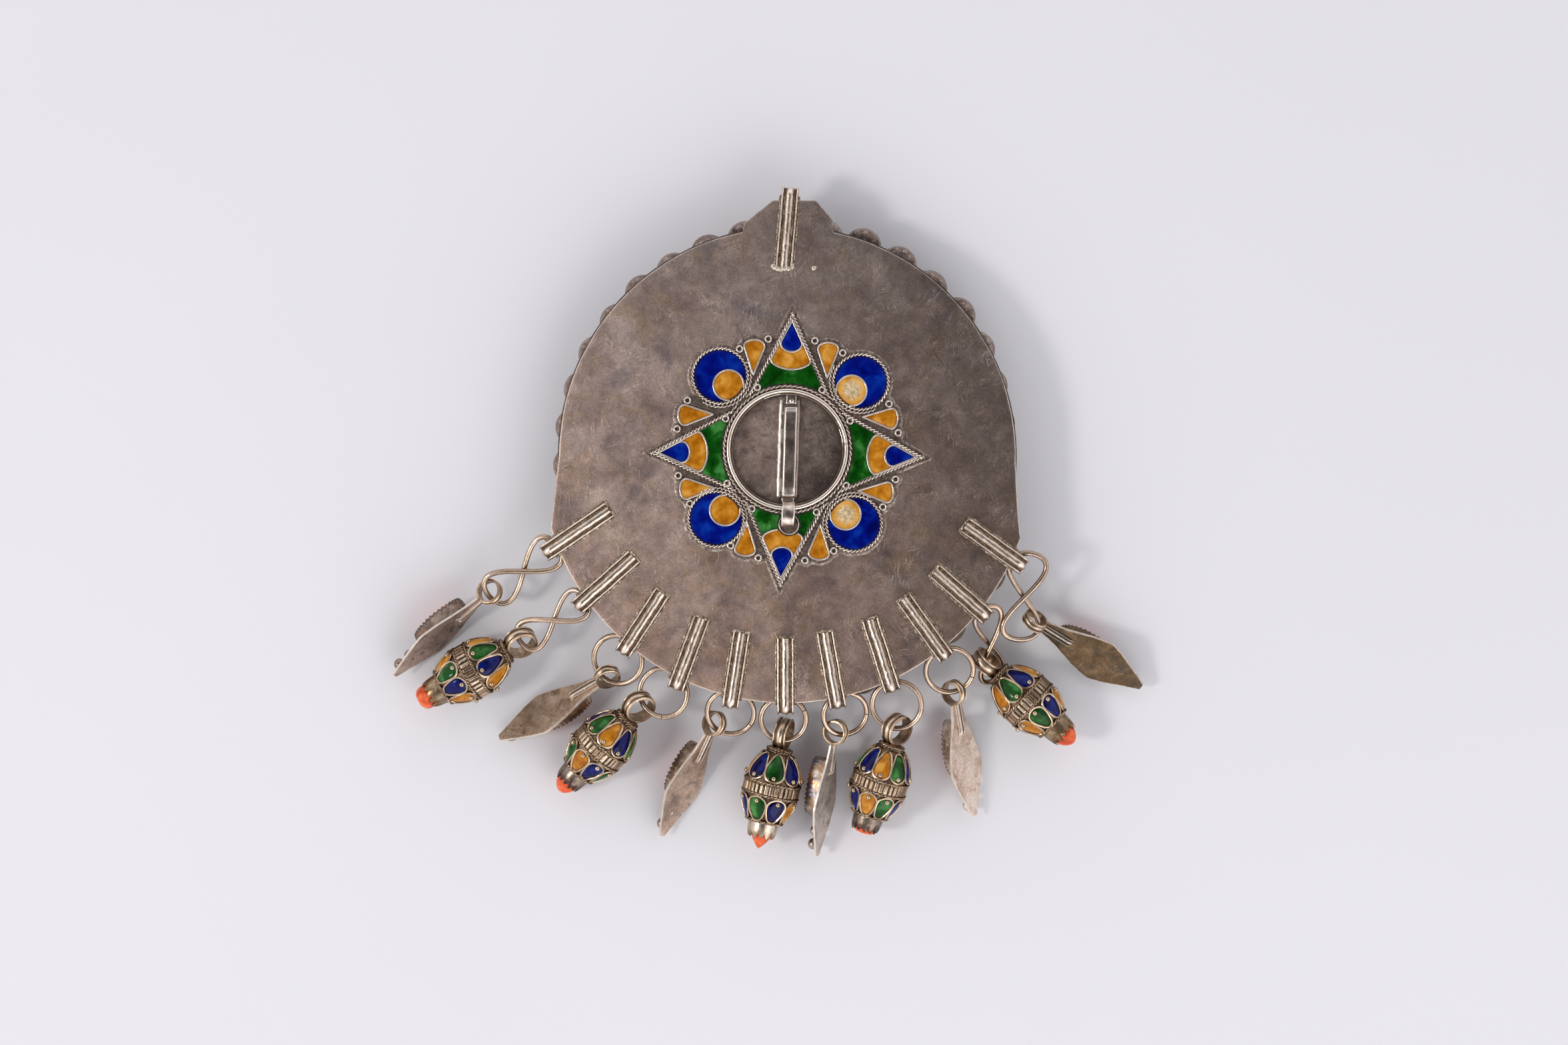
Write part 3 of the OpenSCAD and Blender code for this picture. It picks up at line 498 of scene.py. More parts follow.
eggMetal = metalFinish("oxidised drop silver", {
    "dark": (0.1, 0.06, 0.035), "base": (0.25, 0.16, 0.1), "light": (0.46, 0.33, 0.22), "bright": (0.9, 0.75, 0.57),
    "hollow": (0.028, 0.017, 0.01), "cloud": 2.5, "rough": 0.3, "bump": 0.8, "scratch": 0.2, "hollowTo": 0.45,
    "hollowShare": 0.95, "seed": 19.0})
eggWireMetal = metalFinish("warm cell wire silver", {
    "dark": (0.18, 0.11, 0.065), "base": (0.38, 0.26, 0.165), "light": (0.6, 0.44, 0.3), "bright": (0.86, 0.71, 0.53),
    "hollow": (0.045, 0.027, 0.017), "cloud": 1.6, "rubShare": 0.35, "rough": 0.25, "scratch": 0.1, "bump": 0.5,
    "ragged": 0.5, "hollowTo": 0.4, "hollowShare": 0.92, "seed": 39.0})
loopMetal = metalFinish("drop loop silver", {
    "dark": (0.3, 0.19, 0.115), "base": (0.58, 0.42, 0.285), "light": (0.8, 0.62, 0.45), "bright": (1.0, 0.88, 0.72),
    "hollow": (0.1, 0.055, 0.03), "cloud": 3.0, "rough": 0.27, "scratch": 0.25, "bump": 0.6, "ragged": 0.6,
    "hollowTo": 0.4, "rubShare": 0.4, "seed": 37.0})
capMetals = {
    "gold": metalFinish("golden cap silver", {
        "dark": (0.1, 0.05, 0.022), "base": (0.26, 0.155, 0.075), "light": (0.5, 0.34, 0.19),
        "bright": (0.9, 0.75, 0.55), "hollow": (0.04, 0.024, 0.014), "cloud": 2, "rough": 0.26,
        "tint": (0.1, 0.12, 0.1), "tintSize": 2.5, "seed": 41.0, "rubShare": 0.3}),
    "dark": metalFinish("darkened cap silver", {
        "dark": (0.04, 0.03, 0.03), "base": (0.1, 0.07, 0.06), "light": (0.22, 0.155, 0.12),
        "bright": (0.6, 0.48, 0.38), "hollow": (0.02, 0.015, 0.013), "cloud": 2.2, "rough": 0.3,
        "stain": (0.3, 0.18, 0.1), "stainSize": 3, "seed": 43.0}),
    "bright": metalFinish("bright cap silver", {
        "dark": (0.24, 0.17, 0.11), "base": (0.46, 0.35, 0.24), "light": (0.68, 0.55, 0.41),
        "bright": (0.95, 0.86, 0.74), "hollow": (0.07, 0.045, 0.03), "cloud": 2, "rough": 0.24,
        "stain": (0.24, 0.15, 0.09), "stainSize": 2, "seed": 45.0}),
}
edgeMetal = metalFinish("front sheet silver", {
    "dark": (0.2, 0.155, 0.13), "base": (0.33, 0.265, 0.225), "light": (0.47, 0.39, 0.33),
    "bright": (0.82, 0.75, 0.66), "hollow": (0.06, 0.042, 0.033), "cloud": 9, "rough": 0.38, "bump": 0.5,
    "stain": (0.2, 0.13, 0.09), "seed": 21.0})
bossMetal = metalFinish("pitted boss silver", {
    "dark": (0.13, 0.09, 0.075), "base": (0.36, 0.265, 0.235), "light": (0.6, 0.48, 0.43),
    "bright": (0.78, 0.66, 0.6), "hollow": (0.05, 0.036, 0.03), "cloud": 1.1, "rough": 0.45, "bump": 1.0,
    "bumpSize": 0.35, "ragged": 0.9, "mottle": 0.5, "hollowTo": 0.45, "scratch": 0.1, "seed": 35.0})
blueEnamel = enamelFinish("deep blue enamel", {
    "dark": (0.0, 0.001, 0.085), "base": (0.0, 0.006, 0.19), "light": (0.002, 0.032, 0.32),
    "speck": (0.02, 0.16, 0.5), "edge": (0.0, 0.0005, 0.02), "rough": 0.12, "speckShare": 0.35, "speckSize": 0.07,
    "seed": 2.0})
dropBlueEnamel = enamelFinish("dark blue enamel", {
    "dark": (0.0, 0.0, 0.035), "base": (0.0, 0.001, 0.085), "light": (0.0, 0.02, 0.22), "speck": (0.02, 0.16, 0.5),
    "edge": (0.0, 0.0005, 0.02), "rough": 0.13, "cloud": 2.0, "speckShare": 0.35, "speckSize": 0.07, "seed": 12.0})
yellowEnamel = enamelFinish("ochre enamel", {
    "dark": (0.32, 0.1, 0.003), "base": (0.5, 0.19, 0.011), "light": (0.67, 0.33, 0.058),
    "speck": (0.17, 0.04, 0.002), "edge": (0.26, 0.09, 0.01), "rough": 0.15, "cloud": 2.6, "speckShare": 0.85,
    "speckSize": 0.16, "speckGap": 0.5, "edgeTo": 0.3, "seed": 4.0})
wornEnamel = enamelFinish("worn ochre enamel", {
    "dark": (0.45, 0.17, 0.015), "base": (0.64, 0.3, 0.04), "light": (0.76, 0.44, 0.12), "speck": (0.3, 0.09, 0.01),
    "edge": (0.3, 0.12, 0.015), "rough": 0.17, "bare": (0.7, 0.55, 0.33), "bareFrom": 0.46, "edgeTo": 0.12,
    "seed": 6.0})
greenEnamel = enamelFinish("green enamel", {
    "dark": (0.001, 0.03, 0.001), "base": (0.004, 0.075, 0.004), "light": (0.06, 0.25, 0.055),
    "speck": (0.3, 0.44, 0.08), "edge": (0.003, 0.02, 0.003), "rough": 0.13, "cloud": 3.4, "speckShare": 0.75,
    "speckSize": 0.1, "speckGap": 0.42, "bare": (0.2, 0.42, 0.16), "bareFrom": 1.08, "seed": 8.0})
coralStone = enamelFinish("orange coral", {
    "dark": (0.5, 0.06, 0.012), "base": (0.72, 0.105, 0.028), "light": (0.85, 0.19, 0.07), "speck": (0.9, 0.5, 0.3),
    "edge": (0.3, 0.04, 0.015), "rough": 0.28, "cloud": 2.0, "speckShare": 0.4, "speckSize": 0.08, "seed": 10.0})
print("finishes made")


# The back sheet: a slightly dented plate with a rounded rim, open inside the ring and at the hinge.
plate = {
    "radius": 58.3, "hemRadius": 63.2, "centre": (0, -1.6), "top": 15.0, "thick": 1.0,
    "leftShoulder": (-60.5, -20.5), "rightShoulder": (59.5, -22.3), "inward": (0, -24),
    "rightSide": [(59.1, -18), (57.9, 3), (40, 20)], "leftSide": [(-40, 20), (-58.2, 0)],
    "tab": [(-11.4, 54), (-11.2, 57.7), (-3.7, 63.7), (7.3, 63.7), (11.6, 58.7), (11.5, 54)],
    "hole": 14.5, "hinge": (0.4, -19.1), "hingeHole": 2.4,
    "steps": 900, "rings": 40, "dent": 0.1, "ragged": 0.16, "rim": 0.3, "rimDrop": 0.22, "trim": 0.06,
}


def insidePlate(x, y):
    d = away(np.stack([x, y], -1), plate["centre"])
    (lx, ly), (rx, ry) = plate["leftShoulder"], plate["rightShoulder"]
    below = y < ly + (ry - ly) * (x - lx) / (rx - lx)
    return ((d < plate["radius"]) | ((d < plate["hemRadius"]) & below)
            | insidePolygon(x, y, [plate["inward"], (rx, ry)] + plate["rightSide"])
            | insidePolygon(x, y, [plate["inward"]] + plate["leftSide"] + [(lx, ly)])
            | insidePolygon(x, y, plate["tab"]))


def starSheet(bearings, inner, outer, rings, topOf, bottom, wearOf, rim):
    # a sheet between an inner radius and an outer outline; topOf gives the height for x, y and the edge distance
    steps = len(bearings)
    radii = inner + (outer[:, None] - inner) * np.linspace(0, 1, rings) ** 0.9
    radii = np.concatenate([radii[:, :-1], outer[:, None] - rim * np.array([1.0, 0.62, 0.3, 0.09, 0.0])], 1)
    radii = np.sort(radii, 1)
    a = np.radians(bearings)[:, None]
    x, y = radii * np.cos(a), radii * np.sin(a)
    edge = outer[:, None] - radii
    top = np.stack([x, y, topOf(x, y, edge)], -1)
    wear = wearOf(x, y, edge)
    count = radii.shape[1]
    under = np.stack([top[:, -1, 0], top[:, -1, 1], np.full(steps, bottom)], -1)
    inside = np.stack([top[:, 0, 0], top[:, 0, 1], np.full(steps, bottom)], -1)
    points = np.concatenate([top.reshape(-1, 3), under, inside])
    faces = gridFaces(steps, count, closedRows=True)
    base = steps * count
    for i in range(steps):
        j = (i + 1) % steps
        faces.append((i * count + count - 1, base + i, base + j, j * count + count - 1))
        faces.append((base + i, base + steps + i, base + steps + j, base + j))
        faces.append((base + steps + i, i * count, j * count, base + steps + j))
    return part(points, faces, np.concatenate([wear.ravel(), wear[:, -1], wear[:, 0]]))


def cutHole(p, centre, radius):
    # leaves out the faces that reach into a round hole; a wire collar hides the ragged edge
    near = away(p["points"], centre) < radius
    p["faces"] = [f for f in p["faces"] if not any(near[i] for i in f)]
    return p


bearings = np.arange(plate["steps"]) / plate["steps"] * 360
wobble = ripple(polar(10, bearings), 1.3, 5) * plate["ragged"] * 0.5
plateReach = reach(insidePlate, bearings, far=72, near=40) - plate["trim"] + np.minimum(wobble, 0)


def plateTop(x, y, edge):
    spots = np.stack([x, y], -1)
    dents = ripple(spots, 0.09, 1) * 0.6 + ripple(spots, 0.3, 2) * 0.25
    rounding = plate["rimDrop"] * np.clip(1 - edge / plate["rim"], 0, 1) ** 2
    return plate["top"] - plate["dent"] * (0.5 - 0.5 * np.clip(dents, -1, 1)) - rounding


def plateWear(x, y, edge):
    # a little rubbed round the rosette and more along the rim
    halo = np.clip(1 - np.abs(np.hypot(x, y) - 34) / 5, 0, 1) * 0.08
    rim = np.clip(1 - edge / 0.35, 0, 1) * np.where(y < x * 0.3, 0.5, 0.28)
    return 0.5 + halo + rim


sheet = starSheet(bearings, plate["hole"], plateReach, plate["rings"], plateTop, plate["top"] - plate["thick"],
                  plateWear, plate["rim"])
sheet = cutHole(sheet, plate["hinge"], plate["hingeHole"])
makePiece("plate_sheet", sheet, plateMetal, brooch, ["back_plate"])
print("plate sheet made")


# The rim bosses that show past the upper edge: pitted beads, with painted shadow at the foot under the plate's edge.
bosses = {
    "radius": 4.83, "inset": 4.8, "middle": 9.42, "back": 3.1, "front": 1.6, "first": 9, "apart": 10.2,
    "reach": [59.1, 59.6, 60.5, 61.3, 61, 61.5, 61.9, 61.6, 61.5, 61.4, 60.6, 60.3, 60.5, 60.1, 60.2, 60.1, 60, 60.2],
}
beads = []
for i, far in enumerate(bosses["reach"]):
    bearing = bosses["first"] + i * bosses["apart"]
    t = np.linspace(-math.pi / 2, math.pi / 2, 13)
    high = np.where(t > 0, bosses["back"], bosses["front"])
    wide = bosses["radius"] * np.cos(t) ** np.where(t > 0, 1.0, 0.8)
    bead = revolve(np.column_stack([bosses["middle"] + high * np.sin(t), wide]), 32, "z")
    spots = bead["points"]
    spots[:, :2] *= (1 - 0.03 * np.abs(ripple(spots, 0.8, 70 + i)))[:, None]
    outward = spots[:, :2] @ polar(1.0, bearing) / bosses["radius"]
    # the side under the plate's edge takes the hollow colour as a painted shadow of the plate; the outer side is
    # lighter
    bead["wear"] = np.clip(0.95 * outward - 0.28 + 0.2 * ripple(spots, 1.5, 90 + i), 0, 0.8)
    centre = np.array(plate["centre"]) + polar(far - bosses["inset"], bearing)
    beads.append(placed(bead, at=(*centre, 0)))
makePiece("rim_bosses", join(beads), bossMetal, brooch)
print("rim bosses made")


# Ribbed straps: flat behind, a broad rib between two grooves and a ridge along each edge, laid on the plate, bent
# round its edge and back along the front.
straps = {
    "width": 4.3, "thick": 0.4, "ribHeight": 0.5, "under": 7.6, "bailUnder": 4.6, "front": 11.65, "pace": 0.4,
    # root x, y, then the outermost point x, y
    "hangers": [
        (-45.5, -15.3, -62.5, -26.9), (-39.2, -27.4, -54.2, -40.7), (-32.0, -36.6, -42.4, -52.5),
        (-21.9, -43.1, -28.8, -61.6), (-11.7, -46.8, -14.7, -66.3), (-0.5, -48.2, -0.5, -67.8),
        (9.6, -46.7, 13.1, -66.4), (21.1, -43.4, 27.1, -62.2), (29.7, -38.0, 41.0, -53.7),
        (37.8, -31.0, 51.6, -43.3), (45.5, -19.3, 60.9, -30.3)],
    "bail": (-0.9, 46.5, 0.9, 67.3),
    "solderWidth": 0.8, "solderHeight": 0.26, "step": 0.22,
    # blobs of solder at the root of the loop strap: x, y, radius
    "blobs": [
        (-3.5, 46.7, 0.8), (-2.6, 46.4, 0.95), (-1.7, 46.2, 0.85), (-0.9, 46.5, 1.0), (0.1, 46.4, 0.9),
        (1.0, 46.7, 0.8), (-2.2, 47.3, 0.75), (0.4, 47.2, 0.7), (6.7, 46.3, 0.6), (7.1, 46.6, 0.4)],
}


def ribSection(width, thick, rib):
    # a broad rounded rib between two grooves, and a narrow ridge along each edge
    half = [1, 0.97, 0.93, 0.88, 0.82, 0.76, 0.72, 0.63, 0.54, 0.45, 0.38, 0.28, 0.18, 0.09]
    u = np.array(half + [0] + [-k for k in half[::-1]])
    ridge = np.clip(1 - ((np.abs(u) - 0.87) / 0.15) ** 2, 0, 1) ** 0.7
    middle = np.clip(1 - (u / 0.45) ** 2, 0, 1)
    points = np.column_stack([u * width / 2, thick + rib * np.maximum(0.92 * ridge, middle)])
    wear = 0.03 + 0.95 * np.maximum(ridge, middle ** 0.6)
    points = np.vstack([[(width / 2, 0)], points, [(-width / 2, 0)]])
    return points, np.concatenate([[0.3], wear, [0.3]])


def ribbedStrap(row, under, seed):
    rootX, rootY, tipX, tipY = row
    pace = straps["pace"]
    bend = (plate["top"] - straps["front"]) / 2
    middle = straps["front"] + bend - 0.05
    run = math.hypot(tipX - rootX, tipY - rootY) - bend - straps["thick"] - straps["ribHeight"]
    # along the plate, round the bend and back under it: distance, height, and the strap's outward direction
    spots = [(u, middle + bend, 0, 1) for u in np.arange(0, run, pace)]
    spots += [(run + bend * math.sin(a), middle + bend * math.cos(a), math.sin(a), math.cos(a))
              for a in np.linspace(0, math.pi, 22)]
    spots += [(u, middle - bend, 0, -1) for u in np.linspace(run - pace, run - under, 12)]
    spots = np.array(spots)
    path = np.stack([spots[:, 0], np.zeros(len(spots)), spots[:, 1]], -1)
    up = np.stack([spots[:, 2], np.zeros(len(spots)), spots[:, 3]], -1)
    s = np.arange(len(spots)) * pace
    path[:, 1] += ripple(s[:, None], 0.35, seed) * 0.05
    section, wear = ribSection(straps["width"], straps["thick"], straps["ribHeight"])
    sections = np.repeat(section[None], len(spots), 0)
    grid = np.stack(np.broadcast_arrays(s[:, None], section[:, 0]), -1)
    sections[:, 2:-2, 1] *= 1 - 0.06 * (ripple(grid, 1.1, seed + 1)[:, 2:-2] + 1)
    sections[:, 2:-2, 0] += 0.05 * ripple(s[:, None], 2.4, seed + 2)[:, None]
    turn = turnMatrix(math.degrees(math.atan2(tipY - rootY, tipX - rootX)))
    return placed(sweep(path, sections, up, wear=wear), turn, (rootX, rootY, 0)), run, turn


def solderSeam(start, end, seed, rng, height=straps["solderHeight"], width=straps["solderWidth"]):
    # a rough bead with grains, from one point to another along the foot of a strap
    length = np.linalg.norm(end - start)
    count = max(4, int(length / straps["step"]))
    along = (end - start) / length
    across = np.array([-along[1], along[0]])
    t = np.linspace(0, 1, count)
    columns = np.linspace(-0.5, 0.5, 7)
    widths = width * (0.85 + 0.4 * ripple(t[:, None] * length, 1.1, seed) + rng.uniform(-0.2, 0.2, count))
    widths = np.clip(widths, 0.2, 1.5)
    xy = start + t[:, None, None] * (end - start) + columns[None, :, None] * widths[:, None, None] * across
    hump = np.clip(1 - (2 * columns) ** 2, 0, 1) ** 0.6
    grains = rng.uniform(0.35, 1.25, (count, len(columns)))
    fade = np.minimum(1, np.minimum(t, 1 - t) * 12 + 0.15)
    z = plate["top"] - 0.12 + (0.1 + height * grains) * hump[None] * fade[:, None]
    wear = 0.3 + np.clip(grains - 0.35, 0, 0.7) * hump[None] * fade[:, None]
    return part(np.concatenate([xy, z[..., None]], -1), gridFaces(count, len(columns)), wear.ravel())


rng = np.random.default_rng(11)
strapParts, solderParts = [], []
for i, row in enumerate(straps["hangers"] + [straps["bail"]]):
    isBail = i == len(straps["hangers"])
    strap, run, turn = ribbedStrap(row, straps["bailUnder"] if isBail else straps["under"], 40 + i)
    strapParts.append(strap)
    root = np.array(row[:2])
    along, across = turn[:2, 0], turn[:2, 1]
    half = straps["width"] / 2 + 0.22
    for side in (1, -1):
        foot = root + across * half * side
        solderParts.append(solderSeam(foot - along * 0.3, foot + along * run, 60 + i, rng))
    end = root - along * 0.25
    solderParts.append(solderSeam(end - across * half, end + across * half, 80 + i, rng, height=0.4, width=1.3))
    for k in (-1, 1):  # solder run into the grooves
        foot = root + across * straps["width"] * 0.29 * k
        groove = solderSeam(foot + along * 0.2, foot + along * run, 90 + i, rng, height=0.1, width=0.62)
        groove["points"][:, 2] += 0.4
        groove["wear"] *= 0.6
        solderParts.append(groove)
makePiece("hanger_straps", join(strapParts[:-1]), strapMetal, brooch)
makePiece("bail_strap", strapParts[-1], strapMetal, brooch)
for i, (x, y, r) in enumerate(straps["blobs"]):
    blob = ball((x, y, plate["top"]), r, 16, 0.45, 0.95)
    blob["points"][:, :2] += ripple(blob["points"], 1.6, 20 + i)[:, None] * 0.14
    solderParts.append(blob)
makePiece("strap_solder", join(solderParts), solderMetal, brooch)
print("straps made")


# The rosette: four points and four round lobes on a thin bed, with flat cell walls and twisted wires.
rosette = {
    "points": [-3.4, 87.8, 181.4, 267], "lobes": [42.6, 132.5, 224.2, 311.9],
    "bedTop": 15.35, "wallTop": 16.04, "wall": 0.48, "ropeRadius": 0.42, "ropeTurn": 1.06,
    "ringIn": 14.08, "ringWide": 1.6, "ringHigh": 1.15, "ringFoot": 15.33, "ringRope": 16.13,
    # the thin lip inside the ring: height and distance outward; then the bearing of the ring's butt joint
    "lip": [(15.0, -0.02), (15.72, -0.02), (15.84, 0.08), (15.84, 0.2), (15.7, 0.27)], "lipWide": 0.3,
    "joint": 5.7, "jointWide": 0.55, "jointDeep": 0.22,
    # the lining of the hinge hole: height and radius
    "lining": [(14.0, 2.42), (14.0, 2.3), (15.4, 2.3), (15.4, 2.7)],
    "pointTip": 35.4, "pointHalf": 26, "lobeAt": 25.4, "lobeRope": 7.05, "discAt": 22.2, "discRadius": 4.1,
    "bell": (33.3, 12.9, 5.0, 1.3, 32), "drop": (32.9, 8.0, 2.7, 1.7, 40),
    "sideTip": (20.9, 26.8), "sideEnd": (29.2, 18.8), "side": (2.6, 1.3, 30), "eyeRadius": 0.95, "ropeInset": 0.425,
    "eyes": [(28.6, 12), (28.4, 27.6), (17.6, 28)],
    "bedGrow": 1.05, "margin": 1.5, "bedFoot": 14.98, "bedSteps": 840,
}
halfAngle = math.radians(rosette["pointHalf"])
slope = math.tan(halfAngle)


def arcPoints(centre, radius, start, end, count):
    a = np.radians(np.linspace(start, end, count + 1))
    return np.stack([centre[0] + radius * np.cos(a), centre[1] + radius * np.sin(a)], -1)


def circleAt(centre, radius, count):
    return arcPoints(centre, radius, 0, 360, count)[:-1]


def dropOutline(far, half, corner, turn, grow=0.0):
    # from a sharp tip at the origin to a rounded far end
    turnAngle = math.radians(turn)
    endRadius = corner + (half - corner) / math.sin(turnAngle)
    c = (far - endRadius + (endRadius - corner) * math.cos(turnAngle), half - corner)
    lean = math.degrees(math.atan2(c[1], c[0]) + math.asin(corner / math.hypot(*c)))
    return np.concatenate([
        [(-grow / math.sin(math.radians(lean)), 0)],
        arcPoints((c[0], -c[1]), corner + grow, -lean - 90, -turn, 8),
        arcPoints((far - endRadius, 0), endRadius + grow, -turn, turn, 14),
        arcPoints(c, corner + grow, turn, lean + 90, 8)])


def turned(points, degrees, at=(0, 0)):
    a = math.radians(degrees)
    c, s = math.cos(a), math.sin(a)
    return np.asarray(points) @ np.array([[c, s], [-s, c]]) + np.asarray(at)


def resampled(loop, spacing, closed=True):
    loop = np.asarray(loop, float)
    if closed:
        loop = np.vstack([loop, loop[:1]])
    steps = np.linalg.norm(np.diff(loop, axis=0), axis=1)
    loop = loop[np.concatenate([[True], steps > 1e-9])]
    length = np.concatenate([[0], np.cumsum(steps[steps > 1e-9])])
    count = max(6, int(round(length[-1] / spacing)))
    spots = spotsAt(np.linspace(0, length[-1], count + 1), length, loop)
    return spots[:-1] if closed else spots


def sideOutline(side, grow):
    tip = polar(rosette["sideTip"][0], side * rosette["sideTip"][1])
    end = polar(rosette["sideEnd"][0], side * rosette["sideEnd"][1])
    heading = math.degrees(math.atan2(end[1] - tip[1], end[0] - tip[0]))
    return turned(dropOutline(np.linalg.norm(end - tip), *rosette["side"], grow), heading, tip)


def insideLoops(x, y, loops):
    inside = np.zeros(np.shape(x), bool)
    for loop in loops:
        inside ^= insidePolygon(x, y, [tuple(p) for p in loop])
    return inside


def bedShapes(grow):
    tipX = rosette["pointTip"] + grow / math.sin(halfAngle)
    point = np.array([(tipX, 0), (12, (tipX - 12) * slope), (12, -(tipX - 12) * slope)])
    shapes = []
    for a in rosette["points"]:
        shapes += [turned(point, a), turned(sideOutline(1, grow + 0.4), a), turned(sideOutline(-1, grow + 0.4), a)]
    for a in rosette["lobes"]:
        shapes.append(turned(circleAt((rosette["lobeAt"], 0), rosette["lobeRope"] + grow + 0.3, 48), a))
    for a in rosette["points"]:
        for side in (1, -1):
            for r, turn in rosette["eyes"][:2]:
                shapes.append(circleAt(polar(r, a + side * turn), rosette["eyeRadius"] + grow * 0.8, 20))
    return shapes


def insideBed(x, y):
    inside = np.hypot(x, y) < rosette["ringRope"] + 1.9
    for shape in bedShapes(rosette["bedGrow"]):
        inside |= insidePolygon(x, y, [tuple(p) for p in shape])
    return inside


bedBearings = np.arange(rosette["bedSteps"]) / rosette["bedSteps"] * 360
bedReach = reach(insideBed, bedBearings, far=40, near=14.4, step=0.03)
bedReach = np.stack([np.roll(bedReach, k) for k in range(-2, 3)]).mean(0)  # softens its corners
bedReach = bedReach + ripple(polar(12, bedBearings), 2.6, 7) * 0.12
grainBed = np.random.default_rng(3)


def bedTop(x, y, edge):
    fall = np.clip(1 - edge / rosette["margin"], 0, 1)
    rough = grainBed.uniform(-0.05, 0.05, x.shape) * np.clip(fall * 2, 0.3, 1) * (edge > 0.1)
    return rosette["bedTop"] - 0.36 * fall ** 1.6 + rough


def bedWear(x, y, edge):
    margin = np.clip(1.3 - np.abs(edge - 0.3) / 0.6, 0, 1)
    return 0.34 + 0.34 * margin + grainBed.uniform(-0.2, 0.2, x.shape)


bed = starSheet(bedBearings, plate["hole"], bedReach, 34, bedTop, rosette["bedFoot"], bedWear, 0.25)
bed = cutHole(bed, plate["hinge"], plate["hingeHole"] + 0.05)
makePiece("rosette_bed", bed, bedMetal, brooch)

ribbonHalf, wallBase = rosette["wall"] / 2, rosette["bedTop"] - 0.1
wallHigh = rosette["wallTop"] - wallBase
wallSection = np.array([(-ribbonHalf, 0), (-ribbonHalf, wallHigh - 0.24), (-ribbonHalf * 0.85, wallHigh - 0.1),
                        (-ribbonHalf * 0.45, wallHigh - 0.02), (ribbonHalf * 0.45, wallHigh - 0.02),
                        (ribbonHalf * 0.85, wallHigh - 0.1), (ribbonHalf, wallHigh - 0.24), (ribbonHalf, 0)])
wallWear = np.array([0.1, 0.35, 0.7, 0.95, 0.95, 0.7, 0.35, 0.1])


def wallAlong(loop, closed=True):
    path = raised(resampled(loop, 0.3, closed), wallBase)
    path[:, 2] += ripple(path[:, :2], 0.9, 21) * 0.025
    return sweep(path, wallSection, closed=closed, wear=wallWear)


def clearOf(loop, centre, radius):
    # the run of a closed loop that stays outside a circle, and whether that is all of it
    loop = resampled(loop, 0.2)
    out = away(loop, centre) > radius
    if out.all():
        return loop, True
    first = next(i for i in range(len(out)) if out[i] and not out[i - 1])
    return np.roll(loop, -first, 0)[:np.argmin(np.roll(out, -first))], False


def rosetteRope(flat, z, closed=False, turn=rosette["ropeTurn"], radius=rosette["ropeRadius"]):
    return ropeAlong(raised(flat, z), closed=closed, radius=radius, turn=turn)


walls, ropes = [], []
hingeClear = plate["hingeHole"] + 0.75
cells = []
for name in ("bell", "drop"):
    far, *rest = rosette[name]
    cells.append(turned(dropOutline(*rest), 180, (far, 0)))
cells += [sideOutline(1, 0), sideOutline(-1, 0)]
ropeZ = rosette["bedTop"] + rosette["ropeRadius"] - 0.06
tipInset = rosette["pointTip"] - rosette["ropeInset"] / math.sin(halfAngle)
for a in rosette["points"]:
    for loop in cells:
        walls.append(wallAlong(*clearOf(turned(loop, a), plate["hinge"], hingeClear)))
    for side in (1, -1):
        # the twisted wire, then a thin plain one inside it
        for tipX, extra in ((tipInset, 0.5), (tipInset - 1.25, 0.0)):
            x = np.linspace(tipX + extra, 12, 300)
            line = np.stack([x, side * (tipX - x) * slope], -1)
            line = turned(line[np.hypot(*line.T) > rosette["ringRope"] + 0.75], a)
            line = line[away(line, plate["hinge"]) > hingeClear]
            lift = 0.12 * np.clip(1 - np.arange(len(line)) / 6, 0, 1) * (side > 0)
            if extra:
                ropes.append(rosetteRope(line, ropeZ + lift))
            else:
                walls.append(sweep(raised(line, ropeZ + lift)[::6], circleSection(0.16, 6) + np.array([0, 0.1]),
                                   wear=0.6 + 0.3 * np.sin(np.arange(6))))
for a in rosette["lobes"]:
    centre = polar(rosette["lobeAt"], a)
    ropes.append(rosetteRope(circleAt(centre, rosette["lobeRope"], 120), ropeZ, True))
    # the wall of the yellow disc, as far as it lies inside the lobe
    arc = arcPoints(polar(rosette["discAt"], a), rosette["discRadius"] - 0.22, a - 180, a + 180, 160)[:-1]
    keep = away(arc, centre) < rosette["lobeRope"] - 0.35
    start = next((i for i in range(len(keep)) if keep[i] and not keep[i - 1]), 0)
    arc, keep = np.roll(arc, -start, 0), np.roll(keep, -start)
    walls.append(wallAlong(arc[:-1] if keep.all() else arc[:np.argmin(keep)], bool(keep.all())))
    strand = arcPoints(centre, rosette["lobeRope"] + 0.84, a + 104, a + 256, 90)
    clear = [k for k in range(len(strand)) if np.hypot(*strand[k]) > rosette["ringRope"] + 0.9]
    ropes.append(rosetteRope(strand[clear[0]:clear[-1] + 1], ropeZ - 0.1, turn=1.1, radius=0.38))
    for side in (1, -1):  # short strands between the lobe and the ring
        bridge = arcPoints((0, 0), rosette["ringRope"] + 1.0, a + side * 4, a + side * 15, 30)
        ropes.append(rosetteRope(bridge, ropeZ - 0.08, turn=1.5, radius=0.36))
spots, whole = clearOf(circleAt((0, 0), rosette["ringRope"], 360), plate["hinge"], plate["hingeHole"] + 0.5)
ropes.append(rosetteRope(spots, ropeZ, whole, turn=1.35))
makePiece("cell_walls", join(walls), wireMetal, brooch)
makePiece("twisted_wires", join(ropes), wireMetal, brooch, smoothAngle=70)


def wireRing(centre, radius, wire, z, steps=22, sides=8):
    return sweep(raised(circleAt(centre, radius, steps), z), circleSection(wire, sides), closed=True,
                 wear=0.5 + 0.5 * np.sin(fullTurn(sides)))


